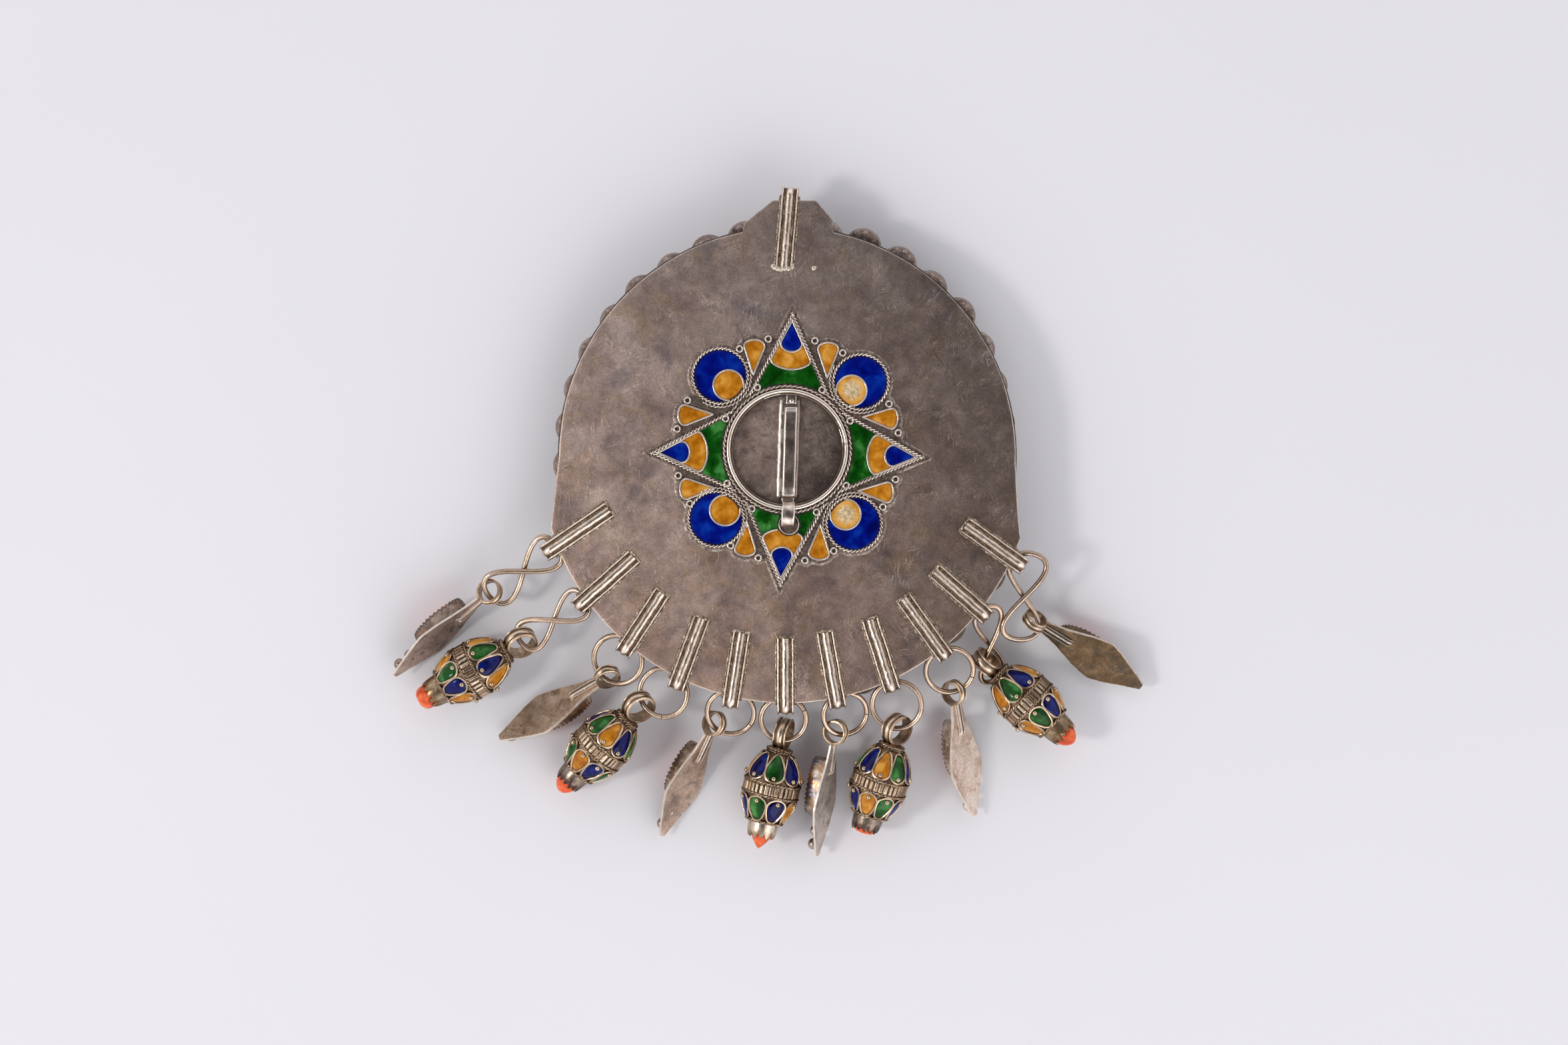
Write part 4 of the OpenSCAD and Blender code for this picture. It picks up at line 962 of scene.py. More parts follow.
eyes = []
for a in rosette["points"]:
    for side in (1, -1):
        for r, turn in rosette["eyes"]:
            for z in (rosette["bedTop"] + 0.42, rosette["bedTop"] + 0.1):
                eyes.append(wireRing(polar(r, a + side * turn), rosette["eyeRadius"] - 0.2, 0.24, z))
collar = wireRing(plate["hinge"], plate["hingeHole"] + 0.12, 0.17, rosette["bedTop"] + 0.12, 40)
lining = revolve(rosette["lining"], 48, "z", [0, 0, 0.2, 0.4])
lining = placed(lining, at=(*plate["hinge"], 0))
makePiece("small_eyes", join(eyes + [collar, lining]), wireMetal, brooch)

inner, wide, lipWide = rosette["ringIn"], rosette["ringWide"], rosette["lipWide"]
ringProfile = [(z, inner + out) for z, out in rosette["lip"]]
ringWear = [0.1, 0.55, 0.9, 0.8, 0.05]
wireHalf = (wide - lipWide) / 2
for t in math.pi * (1 - np.arange(15) / 14):  # the half-round wire
    height = rosette["ringFoot"] + rosette["ringHigh"] * math.sin(t) ** 0.85
    ringProfile.append((height, inner + lipWide + wireHalf + wireHalf * math.cos(t)))
    ringWear.append(0.35 + 0.65 * math.sin(t))
ringProfile += [(15.0, inner + wide), (15.0, inner - 0.02)]
ringWear += [0.1, 0.1]
ring = revolve(ringProfile, 360, "z", ringWear)
around = np.degrees(np.arctan2(ring["points"][:, 1], ring["points"][:, 0]))
joint = np.exp(-((around - rosette["joint"]) / rosette["jointWide"]) ** 2)
ring["points"][:, 2] -= rosette["jointDeep"] * joint * (ring["points"][:, 2] > 15.8)
ring["wear"] *= 1 - 0.9 * joint
ring["points"][:, 2] += ripple(ring["points"][:, :2], 0.25, 8) * 0.03
makePiece("pin_ring", ring, brightMetal, brooch, ["rosette_frame"])
print("rosette made")


# Enamel: each field takes its outline from the frame and swells a little away from its wires.
enamel = {"bed": 15.37, "edge": 15.74, "rise": 0.2, "frameTop": 15.9, "spacing": 0.42, "grow": 0.1, "lobeGrow": 0.36}


def topLoops(node, height):
    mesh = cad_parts[node].data
    co = np.array([v.co[:] for v in mesh.vertices]) / mm
    names, used, spots = {}, {}, []
    for polygon in mesh.polygons:
        if polygon.normal.z > 0.99 and abs(co[list(polygon.vertices)][:, 2].mean() - height) < 0.03:
            ids = []
            for v in polygon.vertices:
                key = (round(co[v][0], 3), round(co[v][1], 3))
                if key not in names:
                    names[key] = len(spots)
                    spots.append(key)
                ids.append(names[key])
            for a, b in zip(ids, ids[1:] + ids[:1]):
                used[(a, b)] = used.get((a, b), 0) + 1
    follow = {a: b for (a, b) in used if (b, a) not in used}
    loops = []
    while follow:
        start = next(iter(follow))
        loop, at = [], start
        while at in follow:
            loop.append(spots[at])
            at = follow.pop(at)
        loops.append(np.array(loop))
    return loops


def fillLoops(loops, spacing, seed):
    # triangles over an outline with holes, and how far each point is from the edge
    loops = [resampled(loop, spacing) for loop in loops]
    edges, base = [], 0
    for loop in loops:
        edges += [(base + i, base + (i + 1) % len(loop)) for i in range(len(loop))]
        base += len(loop)
    starts = np.concatenate(loops)
    ends = np.concatenate([np.roll(loop, -1, 0) for loop in loops])
    low, high = starts.min(0), starts.max(0)
    jitter = np.random.default_rng(seed)
    gx, gy = np.meshgrid(np.arange(low[0], high[0], spacing), np.arange(low[1], high[1], spacing * 0.87))
    gx = gx + (np.arange(gx.shape[0]) % 2)[:, None] * spacing / 2
    grid = np.stack([gx.ravel(), gy.ravel()], -1) + jitter.uniform(-0.12, 0.12, (gx.size, 2)) * spacing
    grid = grid[insideLoops(grid[:, 0], grid[:, 1], loops)]
    grid = grid[segmentDistance(grid, starts, ends) > spacing * 0.55]
    found = delaunay_2d_cdt([Vector(p) for p in np.concatenate([starts, grid])], edges, [], 0, 1e-6)
    points = np.array([tuple(p) for p in found[0]])
    faces = [tuple(f) for f in found[2]]
    middles = np.array([points[list(f)].mean(0) for f in faces])
    faces = [f for f, k in zip(faces, insideLoops(middles[:, 0], middles[:, 1], loops)) if k]
    return points, faces, segmentDistance(points, starts, ends)


def pillow(fill, topAt, bottomAt, soft=0.45, wearScale=1.1):
    # a closed solid over a filled outline; topAt and bottomAt give points for the flat spots
    points, faces, distance = fill
    count = len(points)
    used = {(a, b): 1 for f in faces for a, b in zip(f, f[1:] + f[:1])}
    rim = [(a, b) for (a, b) in used if (b, a) not in used]
    swell = 1 - np.exp(-distance / soft)
    allFaces = faces + [tuple(count + i for i in reversed(f)) for f in faces]
    allFaces += [(b, a, count + a, count + b) for a, b in rim]
    wear = np.clip(distance / wearScale, 0, 1)
    return part(np.concatenate([topAt(points, swell), bottomAt(points)]), allFaces, np.concatenate([wear, wear * 0]))


def grown(loop, amount):
    # moves an outline away from the field on its left
    loop = resampled(loop, 0.25)
    along = unit(np.roll(loop, -1, 0) - np.roll(loop, 1, 0))
    return loop + np.stack([along[:, 1], -along[:, 0]], -1) * amount


def flatField(loops, seed, grow):
    fill = fillLoops([grown(loop, grow) for loop in loops], enamel["spacing"], seed)

    def topAt(points, swell):
        uneven = ripple(points, 0.8, seed) * 0.035
        return raised(points, enamel["edge"] + (enamel["rise"] + uneven) * swell)

    return pillow(fill, topAt, lambda points: raised(points, enamel["bed"]))


def groupLoops(loops):
    # puts each hole with the outline round it
    loops = sorted(loops, key=lambda loop: -np.ptp(loop[:, 0]) * np.ptp(loop[:, 1]))
    groups = []
    for loop in loops:
        home = next((g for g in groups if insideLoops(loop[:1, 0], loop[:1, 1], [g[0]])[0]), None)
        if home is None:
            groups.append([loop])
        else:
            home.append(loop)
    return groups


discSpots = [polar(rosette["discAt"], a) for a in rosette["lobes"]]
lobeSpots = [polar(rosette["lobeAt"], a) for a in rosette["lobes"]]
for colour, finish in (("blue", blueEnamel), ("yellow", yellowEnamel), ("green", greenEnamel)):
    node = "enamel_" + colour
    fields, rubbed = [], []
    for i, group in enumerate(groupLoops(topLoops(node, enamel["frameTop"]))):
        middle = group[0].mean(0)
        inLobe = colour == "blue" and min(np.linalg.norm(middle - s) for s in lobeSpots) < 4
        field = flatField(group, 30 + i, enamel["lobeGrow"] if inLobe else enamel["grow"])
        worn = colour == "yellow" and middle[0] > 0 and min(np.linalg.norm(middle - s) for s in discSpots) < 1.5
        (rubbed if worn else fields).append(field)
    makePiece("field_" + colour, join(fields), finish, brooch, [node])
    if rubbed:
        for p in rubbed:  # most rubbed in the middle
            reachIn = away(p["points"], p["points"].mean(0)) / 3.6
            p["wear"] = np.where(p["wear"] > 0, np.clip(1.15 - reachIn * 0.85, 0, 1), 0)
        makePiece("worn_discs", join(rubbed), wornEnamel, brooch)
print("enamel fields made")


# The pin: a recessed disc, a band, a bevelled bar with a tongue above it, and the eye that turns on the ring.
pin = {
    "discTop": 12.5, "discThick": 0.8, "discRadius": 14.2, "discSteps": 240, "discRings": 46,
    "hinge": (-16.5, 14.9), "eyeIn": 2.5, "eyeOut": 3.25, "eyeWide": 3.4,
    "lean": 0.0306, "leanFrom": -12.0, "leanX": 0.27,
    # width, lower and upper end, bottom, top, bevel, seed, wear
    "band": (5.9, -12.6, 13.6, 12.4, 13.1, 0.7, 55, 0.3), "bar": (3.4, -12.0, 11.0, 12.6, 14.55, 0.38, 57, 0.45),
    "tongue": (2.7, 11.7, 14.2, 12.5, 13.48, 0.2, 59, 0.6), "neck": (2.9, -14.4, -12.2, 12.4, 13.0, 0.3, 61, 0.35),
    "lump": (0.1, 12.5, 13.4), "lumpRadius": 0.7,
}


def leaning(points):
    points = points.copy()
    points[:, 0] += pin["leanX"] + (points[:, 1] - pin["leanFrom"]) * pin["lean"]
    return points


def roundedBar(width, low, high, bottom, top, bevel, seed, wear, steps=60, taper=0.0):
    # a bar along Y with bevelled long edges and softened ends
    ys = np.concatenate([[low, low + bevel * 0.35, low + bevel],
                         np.linspace(low + bevel * 1.6, high - bevel * 1.6, steps),
                         [high - bevel, high - bevel * 0.35, high]])
    drop = np.concatenate([[bevel, bevel * 0.35, 0.05], np.zeros(steps), [0.05, bevel * 0.35, bevel]])
    points, wears = [], []
    for i, y in enumerate(ys):
        half = width / 2 * (1 - taper * (y - low) / (high - low))
        inner = half - bevel
        z = top - drop[i]
        side = [(half, bottom), (half, z - bevel), (half - bevel * 0.35, z - bevel * 0.4), (inner, z)]
        row = [(-x, height) for x, height in side] + [(x, z) for x in np.linspace(-inner, inner, 7)[1:-1]] + side[::-1]
        edge = 0.25 if i < 3 or i >= len(ys) - 3 else 0.0
        points.append([(x, y, height) for x, height in row])
        wears.append([0.1, 0.75, 1.0, 0.8] + [wear + edge] * 5 + [0.8, 1.0, 0.75, 0.1])
    points = np.array(points)
    columns = points.shape[1]
    flat = points.reshape(-1, 3)
    flat[:, 2] += ripple(flat[:, :2], 0.5, seed) * 0.045 * (flat[:, 2] > bottom + 0.1)
    flat[:, 0] += ripple(flat[:, 1:2], 0.45, seed + 1) * 0.05
    faces = gridFaces(len(ys), columns, closedColumns=True)
    faces.append(tuple(range(columns)))
    faces.append(tuple(range((len(ys) - 1) * columns, len(ys) * columns)))
    return part(flat, faces, np.ravel(wears))


steps, count = pin["discSteps"], pin["discRings"] - 1
foot = pin["discTop"] - pin["discThick"]
radii = pin["discRadius"] * np.linspace(0, 1, pin["discRings"])[1:] ** 0.9
a = np.radians(np.arange(steps) / steps * 360)[:, None]
spots = np.stack([radii * np.cos(a), radii * np.sin(a)], -1)
dish = pin["discTop"] - 0.08 + ripple(spots, 0.28, 51) * 0.05 + 0.03 * ripple(spots, 1.1, 52)
topPoints = np.concatenate([spots, np.minimum(dish, pin["discTop"])[..., None]], -1)
under = raised(spots[:, -1], foot)
points = np.concatenate([topPoints.reshape(-1, 3), under, [(0, 0, pin["discTop"] - 0.06), (0, 0, foot)]])
faces = gridFaces(steps, count, closedRows=True)
rimStart, middle = steps * count, steps * count + steps
for i in range(steps):
    j = (i + 1) % steps
    faces.append((middle, i * count, j * count))
    faces.append((i * count + count - 1, rimStart + i, rimStart + j, j * count + count - 1))
    faces.append((middle + 1, rimStart + j, rimStart + i))
rimWear = 0.5 - 0.42 * np.clip((radii / pin["discRadius"] - 0.86) / 0.14, 0, 1)
discWear = np.concatenate([np.tile(rimWear, steps), np.full(steps, 0.1), [0.5, 0.5]])
makePiece("recess_disc", part(points, faces, discWear), recessMetal, pinBody, ["pin"])

band = roundedBar(*pin["band"])
spots = band["points"]
spots[:, 0] -= 0.4  # a little to the left, with an uneven left edge painted bright as a highlight
spots[:, 0] += ripple(spots[:, 1:2], 1.6, 56) * 0.09 * (spots[:, 0] < -2.4)
# the left edge is painted bright, a painted highlight where the light from the left catches it; the rest of the band
# gets less wear
litBandEdge = (spots[:, 0] < -1.9) & (spots[:, 2] > 12.5)
band["wear"] = np.where(litBandEdge, 1.2 + 0.25 * ripple(spots[:, 1:2], 1.1, 54), band["wear"] * 0.6)
bar = roundedBar(*pin["bar"])
spots = bar["points"]
lowEnd = np.clip((-9.6 - spots[:, 1]) / 1.4, 0, 1)  # the lower end is rough
spots[:, 2] -= lowEnd * (0.25 + 0.3 * (ripple(spots[:, :2], 1.6, 58) > 0.2)) * (spots[:, 2] > 13.4) * 0.6
# the lower end is also painted brighter, a painted highlight on its rough lumps
bar["wear"] = np.clip(bar["wear"] + lowEnd * 0.4, 0, 1)
topEnd = np.clip((spots[:, 1] - 9.6) / 0.5, 0, 1) * (spots[:, 2] > 13.4)  # and the upper end steps down
spots[:, 2] -= topEnd * 0.32
# its step is painted brighter, a painted highlight where it catches the light
bar["wear"] = np.clip(bar["wear"] + topEnd * 0.45, 0, 1)
tongue = roundedBar(*pin["tongue"], steps=10)
lump = ball(pin["lump"], pin["lumpRadius"], 14, 0.5, 0.95)
neck = roundedBar(*pin["neck"], steps=12, taper=-0.25)
neck["points"][:, 0] -= 0.15
barParts = [bar, tongue, lump, neck]
for p in [band] + barParts:
    p["points"] = leaning(p["points"])
makePiece("pin_band", band, pinMetal, pinBody)
makePiece("pin_bar", join(barParts), pinMetal, pinBody)

eyeHalf, eyeIn, eyeOut = pin["eyeWide"] / 2, pin["eyeIn"], pin["eyeOut"]
eyeProfile = [(-eyeHalf, eyeIn + 0.12), (-eyeHalf, eyeOut - 0.26), (-eyeHalf + 0.08, eyeOut - 0.09),
              (-eyeHalf + 0.26, eyeOut)]
eyeProfile += [(s, eyeOut) for s in np.linspace(-eyeHalf + 0.5, eyeHalf - 0.5, 6)]
eyeProfile += [(-s, r) for s, r in reversed(eyeProfile[:4])]
eyeProfile += [(eyeHalf - 0.1, eyeIn), (-eyeHalf + 0.1, eyeIn)]
eyeWear = [0.3, 0.7, 1.0, 0.95] + [0.74] * 6 + [0.95, 1.0, 0.7, 0.3, 0.05, 0.05]
eye = revolve(eyeProfile, 96, "x", eyeWear, closed=True)
spots = eye["points"]
spread = np.hypot(spots[:, 1], spots[:, 2])
push = ripple(spots, 0.8, 63) * 0.06 * (spread > eyeOut - 0.2)
spots[:, 1:] *= (1 - np.maximum(push, 0) / np.maximum(spread, 1e-6))[:, None]
eye["wear"] = np.clip(eye["wear"] + ripple(spots, 1.2, 64) * 0.25, 0, 1)
spots[:, 0] += 0.2 + 0.06 * spots[:, 1]  # it stands a little askew
eye = placed(eye, at=(0, *pin["hinge"]))
makePiece("hinge_eye", eye, pinMetal, pinBody)
print("pin made")


# Links: round rings and figure eights, all in the same wire, hung through the straps.
links = {
    "wire": 0.69, "passage": 12.8, "lift": 0.82,
    # number, x, y where the wire passes the strap, ring radius, heading, slope, roll, bearing of the joint
    "round": [
        (3, -39.9, -48.8, 6.4, 234.6, 18.7, 3.7, 150), (4, -27.5, -57.7, 6.3, 226.7, 12.9, 6.8, 40),
        (5, -13.9, -61.7, 6.0, 263.2, 20.8, 1.7, 65), (6, -0.7, -63.4, 5.8, 267, 16, 0, 118),
        (7, 12.4, -62.95, 5.7, 297.1, 22.5, -3, 60), (8, 25.7, -59.6, 6.3, 292, 11.8, 10.5, -60),
        (9, 39.2, -51.2, 6.1, 294.3, 19.5, 6.1, 50)],
    # number, x, y, half length, heading, slope, roll, half width, where the wire passes the strap
    "eight": [
        (1, -58.75, -24.45, 11.4, 215.9, 13.1, -6.4, 4.3, 0), (2, -51.5, -38.0, 10.5, 213.3, 12.8, 2.5, 3.9, 0),
        (10, 48.2, -42.55, 11.2, 275.5, 29.3, -25.2, 3.6, -33), (11, 56.6, -28.7, 11.4, 264.8, 11.3, -10.5, 4.9, -40)],
}


def wireSize(count, seed):
    t = fullTurn(count)
    return 1 + 0.02 * ripple(np.stack([np.cos(t), np.sin(t)], -1) * 5, 0.8, seed)


def linkWire(number, path, up, closed):
    return sweep(path, circleSection(links["wire"], 12), up, closed, size=wireSize(len(path), number),
                 wear=0.55 + 0.35 * np.sin(fullTurn(12)))


wires = {}
for number, x, y, radius, heading, slopeDown, roll, joint in links["round"]:
    t = np.radians(joint + np.linspace(1.3, 358.7, 110))  # open by a hair at the joint
    flat = np.stack([radius + radius * np.cos(t), radius * np.sin(t), 0 * t], -1)
    wire = linkWire(number, flat, (0, 0, 1), False)
    wires[number] = placed(wire, turnMatrix(heading, slopeDown, roll), (x, y, links["passage"]))

for number, x, y, length, heading, slopeDown, roll, halfWide, at in links["eight"]:
    h, s, r = math.radians(heading), math.radians(slopeDown), math.radians(roll)
    forward = np.array([math.cos(s) * math.cos(h), math.cos(s) * math.sin(h), -math.sin(s)])
    level = np.array([-math.sin(h), math.cos(h), 0])
    side = math.cos(r) * level + math.sin(r) * np.cross(forward, level)
    up = np.cross(forward, side)

    def place(t):
        return (-length * np.cos(t)[:, None] * forward + halfWide * np.sin(2 * t)[:, None] * side
                + links["lift"] * np.sin(t)[:, None] * up)

    centre = np.array([x, y, links["passage"]]) - place(np.array([math.radians(at)]))[0]
    wires[number] = linkWire(number, centre + place(fullTurn(150)), up, True)

for number, wire in wires.items():
    makePiece(f"wire_link_{number}", wire, linkMetal, brooch, [f"link_{number}"])
print("links made")


# Egg drops: an oxidised body with wired enamel cells, a ladder band, twisted collars, a toothed cap and a coral tip.
egg = {
    "radius": 7.1, "half": 10.5, "middle": 14.5, "top": 4.6, "low": 22.6, "bandHalf": 1.6,
    "bodyStart": [(3.7, 0.0), (3.7, 2.7), (4.05, 3.1)], "bodyEnd": [(23.7, 4.0), (24.6, 3.9), (24.6, 0.0)],
    "capRadius": 3.75, "capStart": 23.3, "capEnd": 27.8, "teeth": 13, "toothDeep": 1.5, "bars": 34,
    "seat": 0.08, "rise": 0.34, "cellWire": 0.3, "grain": 0.66, "coralStart": 24.75, "coralLip": 26.3,
    # how blunt the coral's end is, how it narrows, and the number of its facets
    "corals": {"round": (2.1, 0.62, 0), "pointed": (1.25, 0.9, 8), "flat": (5.0, 0.45, 8)},
    # twisted collars: distance along the egg, radius, wire, length of one turn
    "hoops": [(4.35, 3.15, 0.4, 1.0), (4.95, 3.0, 0.34, 1.0), (23.1, 4.7, 0.42, 1.1)],
    # where the narrow end starts, then length, half width of the wide end and of the narrow end
    "upper": (5.6, 6.8, 2.2, 0.8), "lower": (22.7, 6.2, 2.15, 0.95),
    "caps": {2: ("gold", "flat"), 4: ("dark", "round"), 6: ("bright", "pointed"), 8: ("dark", "flat"),
             10: ("gold", "round")},
    # number, x, y, z of the loop's middle, heading, pitch, roll, how far the coral reaches
    "drops": [
        (2, -68.5, -49.4, 8.27, 210, 2.8, 43.6, 30.6), (4, -38.1, -65.8, 10.35, 226.6, 10.4, 46.9, 30.8),
        (6, -1.0, -72.7, 8.3, 257.6, 3, 15, 30.6), (8, 28.1, -71.7, 9.8, 252.4, 8.3, 43.8, 28.4),
        (10, 51.2, -54.6, 7.05, 317.5, -2, 17.5, 30.6)],
    # colours of the upper cells and the turn of the first, then the same for the lower cells
    "cells": {
        2: ("gybgybgyb", 30, "gybgybgyb", 25), 4: ("gbygbygby", 43, "gbygbygby", 54),
        6: ("gbybgbyb", 0, "gbybgbyb", 25), 8: ("ybgybgybg", 6, "ybgybgybg", 15),
        10: ("gybgybgyb", 10, "gybgybgyb", 10)},
    "loop": (3.45, 3.4, 0.4, 0.3),  # radius, width, thickness, height of the ribs
}
enamels = {"b": ("blue", dropBlueEnamel), "g": ("green", greenEnamel), "y": ("yellow", yellowEnamel)}


def eggRadius(s):
    return egg["radius"] * np.sqrt(np.maximum(1 - ((np.asarray(s, float) - egg["middle"]) / egg["half"]) ** 2, 0.02))


def onEgg(s, sideways, lift, turn):
    # a spot on the egg: distance along it, distance to the side of a cell's middle line, and height above the surface
    s, sideways, lift = np.broadcast_arrays(np.asarray(s, float), np.asarray(sideways, float), np.asarray(lift, float))
    radius = eggRadius(s)
    slopeHere = (eggRadius(s + 0.01) - eggRadius(s - 0.01)) / 0.02
    a = np.arcsin(np.clip(sideways / radius, -0.99, 0.99))
    out = radius + lift / np.hypot(1, slopeHere)
    flat = np.stack([s - lift * slopeHere / np.hypot(1, slopeHere), out * np.sin(a), out * np.cos(a)], -1)
    return flat @ turnMatrix(roll=turn).T


def ribbedLoop(radius, width, thick, rib):
    section, wear = ribSection(width, thick, rib)
    return revolve([(w, radius + h) for w, h in section], 80, "y", wear, closed=True)


def petalOutline(far, half, narrow):
    # rounded at both ends, widest near the far one
    x = far * (0.5 - 0.5 * np.cos(math.pi * np.linspace(0, 1, 26)))
    wideAt = far - 0.85 * half
    side = np.where(x < wideAt, narrow + (half - narrow) * np.sin(np.clip(x / wideAt, 0, 1) * math.pi / 2) ** 1.15,
                    half * np.sqrt(np.clip(1 - ((x - wideAt) / (far - wideAt)) ** 2.1, 0, 1)))
    side = side * np.sqrt(np.clip(1 - np.clip(1 - x / narrow, 0, 1) ** 2, 0, 1))
    return np.concatenate([np.stack([x, -side], -1), np.stack([x, side], -1)[-2:0:-1]])


def eggCell(base, far, half, narrow, direction, turn, seed):
    # the wire of one cell, the grain at its wide end, and its enamel
    outline = petalOutline(far, half, narrow)
    spots = resampled(outline, 0.34)
    along = base + direction * spots[:, 0]
    path = onEgg(along, spots[:, 1], egg["cellWire"] * 0.9, turn)
    normal = unit(onEgg(along, spots[:, 1], 1.0, turn) - onEgg(along, spots[:, 1], 0.0, turn))
    wire = sweep(path, circleSection(egg["cellWire"], 7), normal, True, wear=0.55 + 0.45 * np.sin(fullTurn(7)))
    grainAt = onEgg(np.array([base + direction * (far - 1.05)]), np.array([0.0]), 0.42, turn)[0]
    fill = fillLoops([grown(outline, -egg["cellWire"] * 0.5)], 0.46, seed)

    def topAt(points, swell):
        lift = egg["seat"] + 0.04 + egg["rise"] * 0.75 * swell + ripple(points, 1.3, seed) * 0.03 * swell
        return onEgg(base + direction * points[:, 0], points[:, 1], lift, turn)

    def bottomAt(points):
        return onEgg(base + direction * points[:, 0], points[:, 1], 0.0, turn)

    return [wire, ball(grainAt, egg["grain"], 12, 1.0, 0.9)], pillow(fill, topAt, bottomAt, 0.35, 0.8)


def twistedHoop(s, radius, wire, turn):
    path = aroundX(s, radius, fullTurn(90))
    return ropeAlong(path, (1.0, 0, 0), closed=True, radius=wire, turn=turn, sides=7)


def sawTeeth(count, teeth):
    # 1 between two teeth, 0 at the tip of each
    return np.abs(((np.arange(count) / count * teeth) % 1) * 2 - 1)


def toothedCup(seed, thick=0.3):
    # a cup along X whose far rim is cut into leaf-like teeth
    start, end = egg["capStart"], egg["capEnd"]
    rIn, rOut = egg["capRadius"] + 0.3, egg["capRadius"] - 0.2
    steps, rows = egg["teeth"] * 10, 9
    saw = sawTeeth(steps, egg["teeth"])
    lengths = np.random.default_rng(seed).uniform(0.7, 1.15, egg["teeth"])[np.arange(steps) // 10]
    rim = end - egg["toothDeep"] + egg["toothDeep"] * (1 - saw ** 1.3) * lengths
    share = np.linspace(0, 1, rows)
    s = start + (rim[:, None] - start) * share
    along = (s - start) / (end - start)
    r = rIn + (rOut - rIn) * np.clip(along, 0, 1.2)
    r = r + 0.06 * np.sin(np.clip(along, 0, 1) * math.pi) - 0.3 * (1 - saw[:, None]) * share ** 6
    s, r = np.concatenate([s, s[:, ::-1]], 1), np.concatenate([r, r[:, ::-1] - thick], 1)
    wear = np.concatenate([0.75 - 0.6 * share ** 5, [0.6] * rows])
    faces = gridFaces(steps, rows * 2, closedRows=True, closedColumns=True)
    return part(aroundX(s, r, fullTurn(steps)[:, None]), faces, np.tile(wear, steps))


def ladderBand(seed):
    low, high = egg["middle"] - egg["bandHalf"] + 0.15, egg["middle"] + egg["bandHalf"] - 0.15
    steps, rows = egg["bars"] * 10, 9
    phase = (np.arange(steps) / steps * egg["bars"]) % 1
    bar = np.clip(np.sin(phase * math.pi) ** 0.5 - 0.3, 0, 1) / 0.7
    notch = np.clip(1 - np.abs(phase - 0.5) / 0.13, 0, 1) * 0.45
    share = np.linspace(0, 1, rows)
    ends = np.clip(np.sin(share * math.pi) * 3.2, 0, 1)
    uneven = np.random.default_rng(seed).uniform(0.75, 1.1, egg["bars"])[np.arange(steps) // 10]
    height = (bar * uneven)[:, None] * ends[None] - notch[:, None] * np.clip(ends - 0.3, 0, 1)[None]
    r = egg["radius"] + 0.02 + 0.3 * np.clip(height, 0, 1)
    ring = aroundX(low + (high - low) * share, r, fullTurn(steps)[:, None])
    return part(ring, gridFaces(steps, rows, closedRows=True), np.clip(height, 0, 1).ravel() * 0.95 + 0.05)


def eggBody():
    s = np.linspace(egg["top"], egg["low"], 46)
    profile = egg["bodyStart"] + [(v, float(eggRadius(v)) - 0.02) for v in s] + egg["bodyEnd"]
    wear = np.full(len(profile), 0.3)
    wear[1] = 0.4
    return revolve(profile, 96, "x", wear)


def coralTip(reachTo, shape, seed):
    start, lip = egg["coralStart"], egg["coralLip"]
    radius = egg["capRadius"] - 0.62
    power, root, facets = egg["corals"][shape]
    profile = [(start, 0.0), (start, radius), (lip, radius)]
    for u in np.linspace(0.06, 1, 13):
        profile.append((lip + (reachTo - lip) * u, radius * max(0.0, 1 - u ** power) ** root))
    tip = revolve(profile, 64, "x", 0.9)
    spots = tip["points"]
    if facets:
        around = np.mod(np.arctan2(spots[:, 2], spots[:, 1]), 2 * math.pi / facets) - math.pi / facets
        spots[:, 1:] *= (1 + 0.8 * (math.cos(math.pi / facets) / np.cos(around) - 1))[:, None]
    spots[:, 1:] *= (1 - 0.03 * np.abs(ripple(spots, 0.5, seed)))[:, None]
    return tip


for number, x, y, z, heading, pitch, roll, reachTo in egg["drops"]:
    lay = turnMatrix(heading, pitch, roll)
    at = (x, y, z)
    upper, upperTurn, lower, lowerTurn = egg["cells"][number]
    fields, wires = {"b": [], "g": [], "y": []}, []
    for colours, firstTurn, (base, far, half, narrow), direction in (
            (upper, upperTurn, egg["upper"], 1), (lower, lowerTurn, egg["lower"], -1)):
        if len(colours) == 8:  # fewer cells are wider
            half *= 1.1
        for i, key in enumerate(colours):
            turn = firstTurn - roll + i * 360 / len(colours)
            wire, field = eggCell(base, far, half, narrow, direction, turn, number * 10 + i)
            wires += wire
            fields[key].append(field)
    for k in (-1, 1):
        wires.append(twistedHoop(egg["middle"] + k * egg["bandHalf"], egg["radius"] + 0.1, 0.4, 1.05))
    wires += [twistedHoop(*row) for row in egg["hoops"]]
    capTone, coralShape = egg["caps"][number]
    body = join([eggBody(), ladderBand(number)])
    makePiece(f"egg_body_{number}", placed(body, lay, at), eggMetal, brooch, [f"egg_{number}"])
    trim = placed(join(wires), lay, at)
    trim["points"][:, 2] = np.maximum(trim["points"][:, 2], 0.02)  # the lowest grains rest on the table
    makePiece(f"egg_wires_{number}", trim, eggWireMetal, brooch)
    makePiece(f"egg_cap_{number}", placed(toothedCup(number), lay, at), capMetals[capTone], brooch)
    makePiece(f"egg_loop_{number}", placed(ribbedLoop(*egg["loop"]), lay, at), loopMetal, brooch)
    for key, parts in fields.items():
        word, finish = enamels[key]
        makePiece(f"egg_field_{word}_{number}", placed(join(parts), lay, at), finish, brooch,
                  [f"egg_{word}_{number}"])
    tip = placed(coralTip(reachTo, coralShape, number), lay, at)
    makePiece(f"coral_tip_{number}", tip, coralStone, brooch, [f"egg_coral_{number}"])
print("egg drops made")


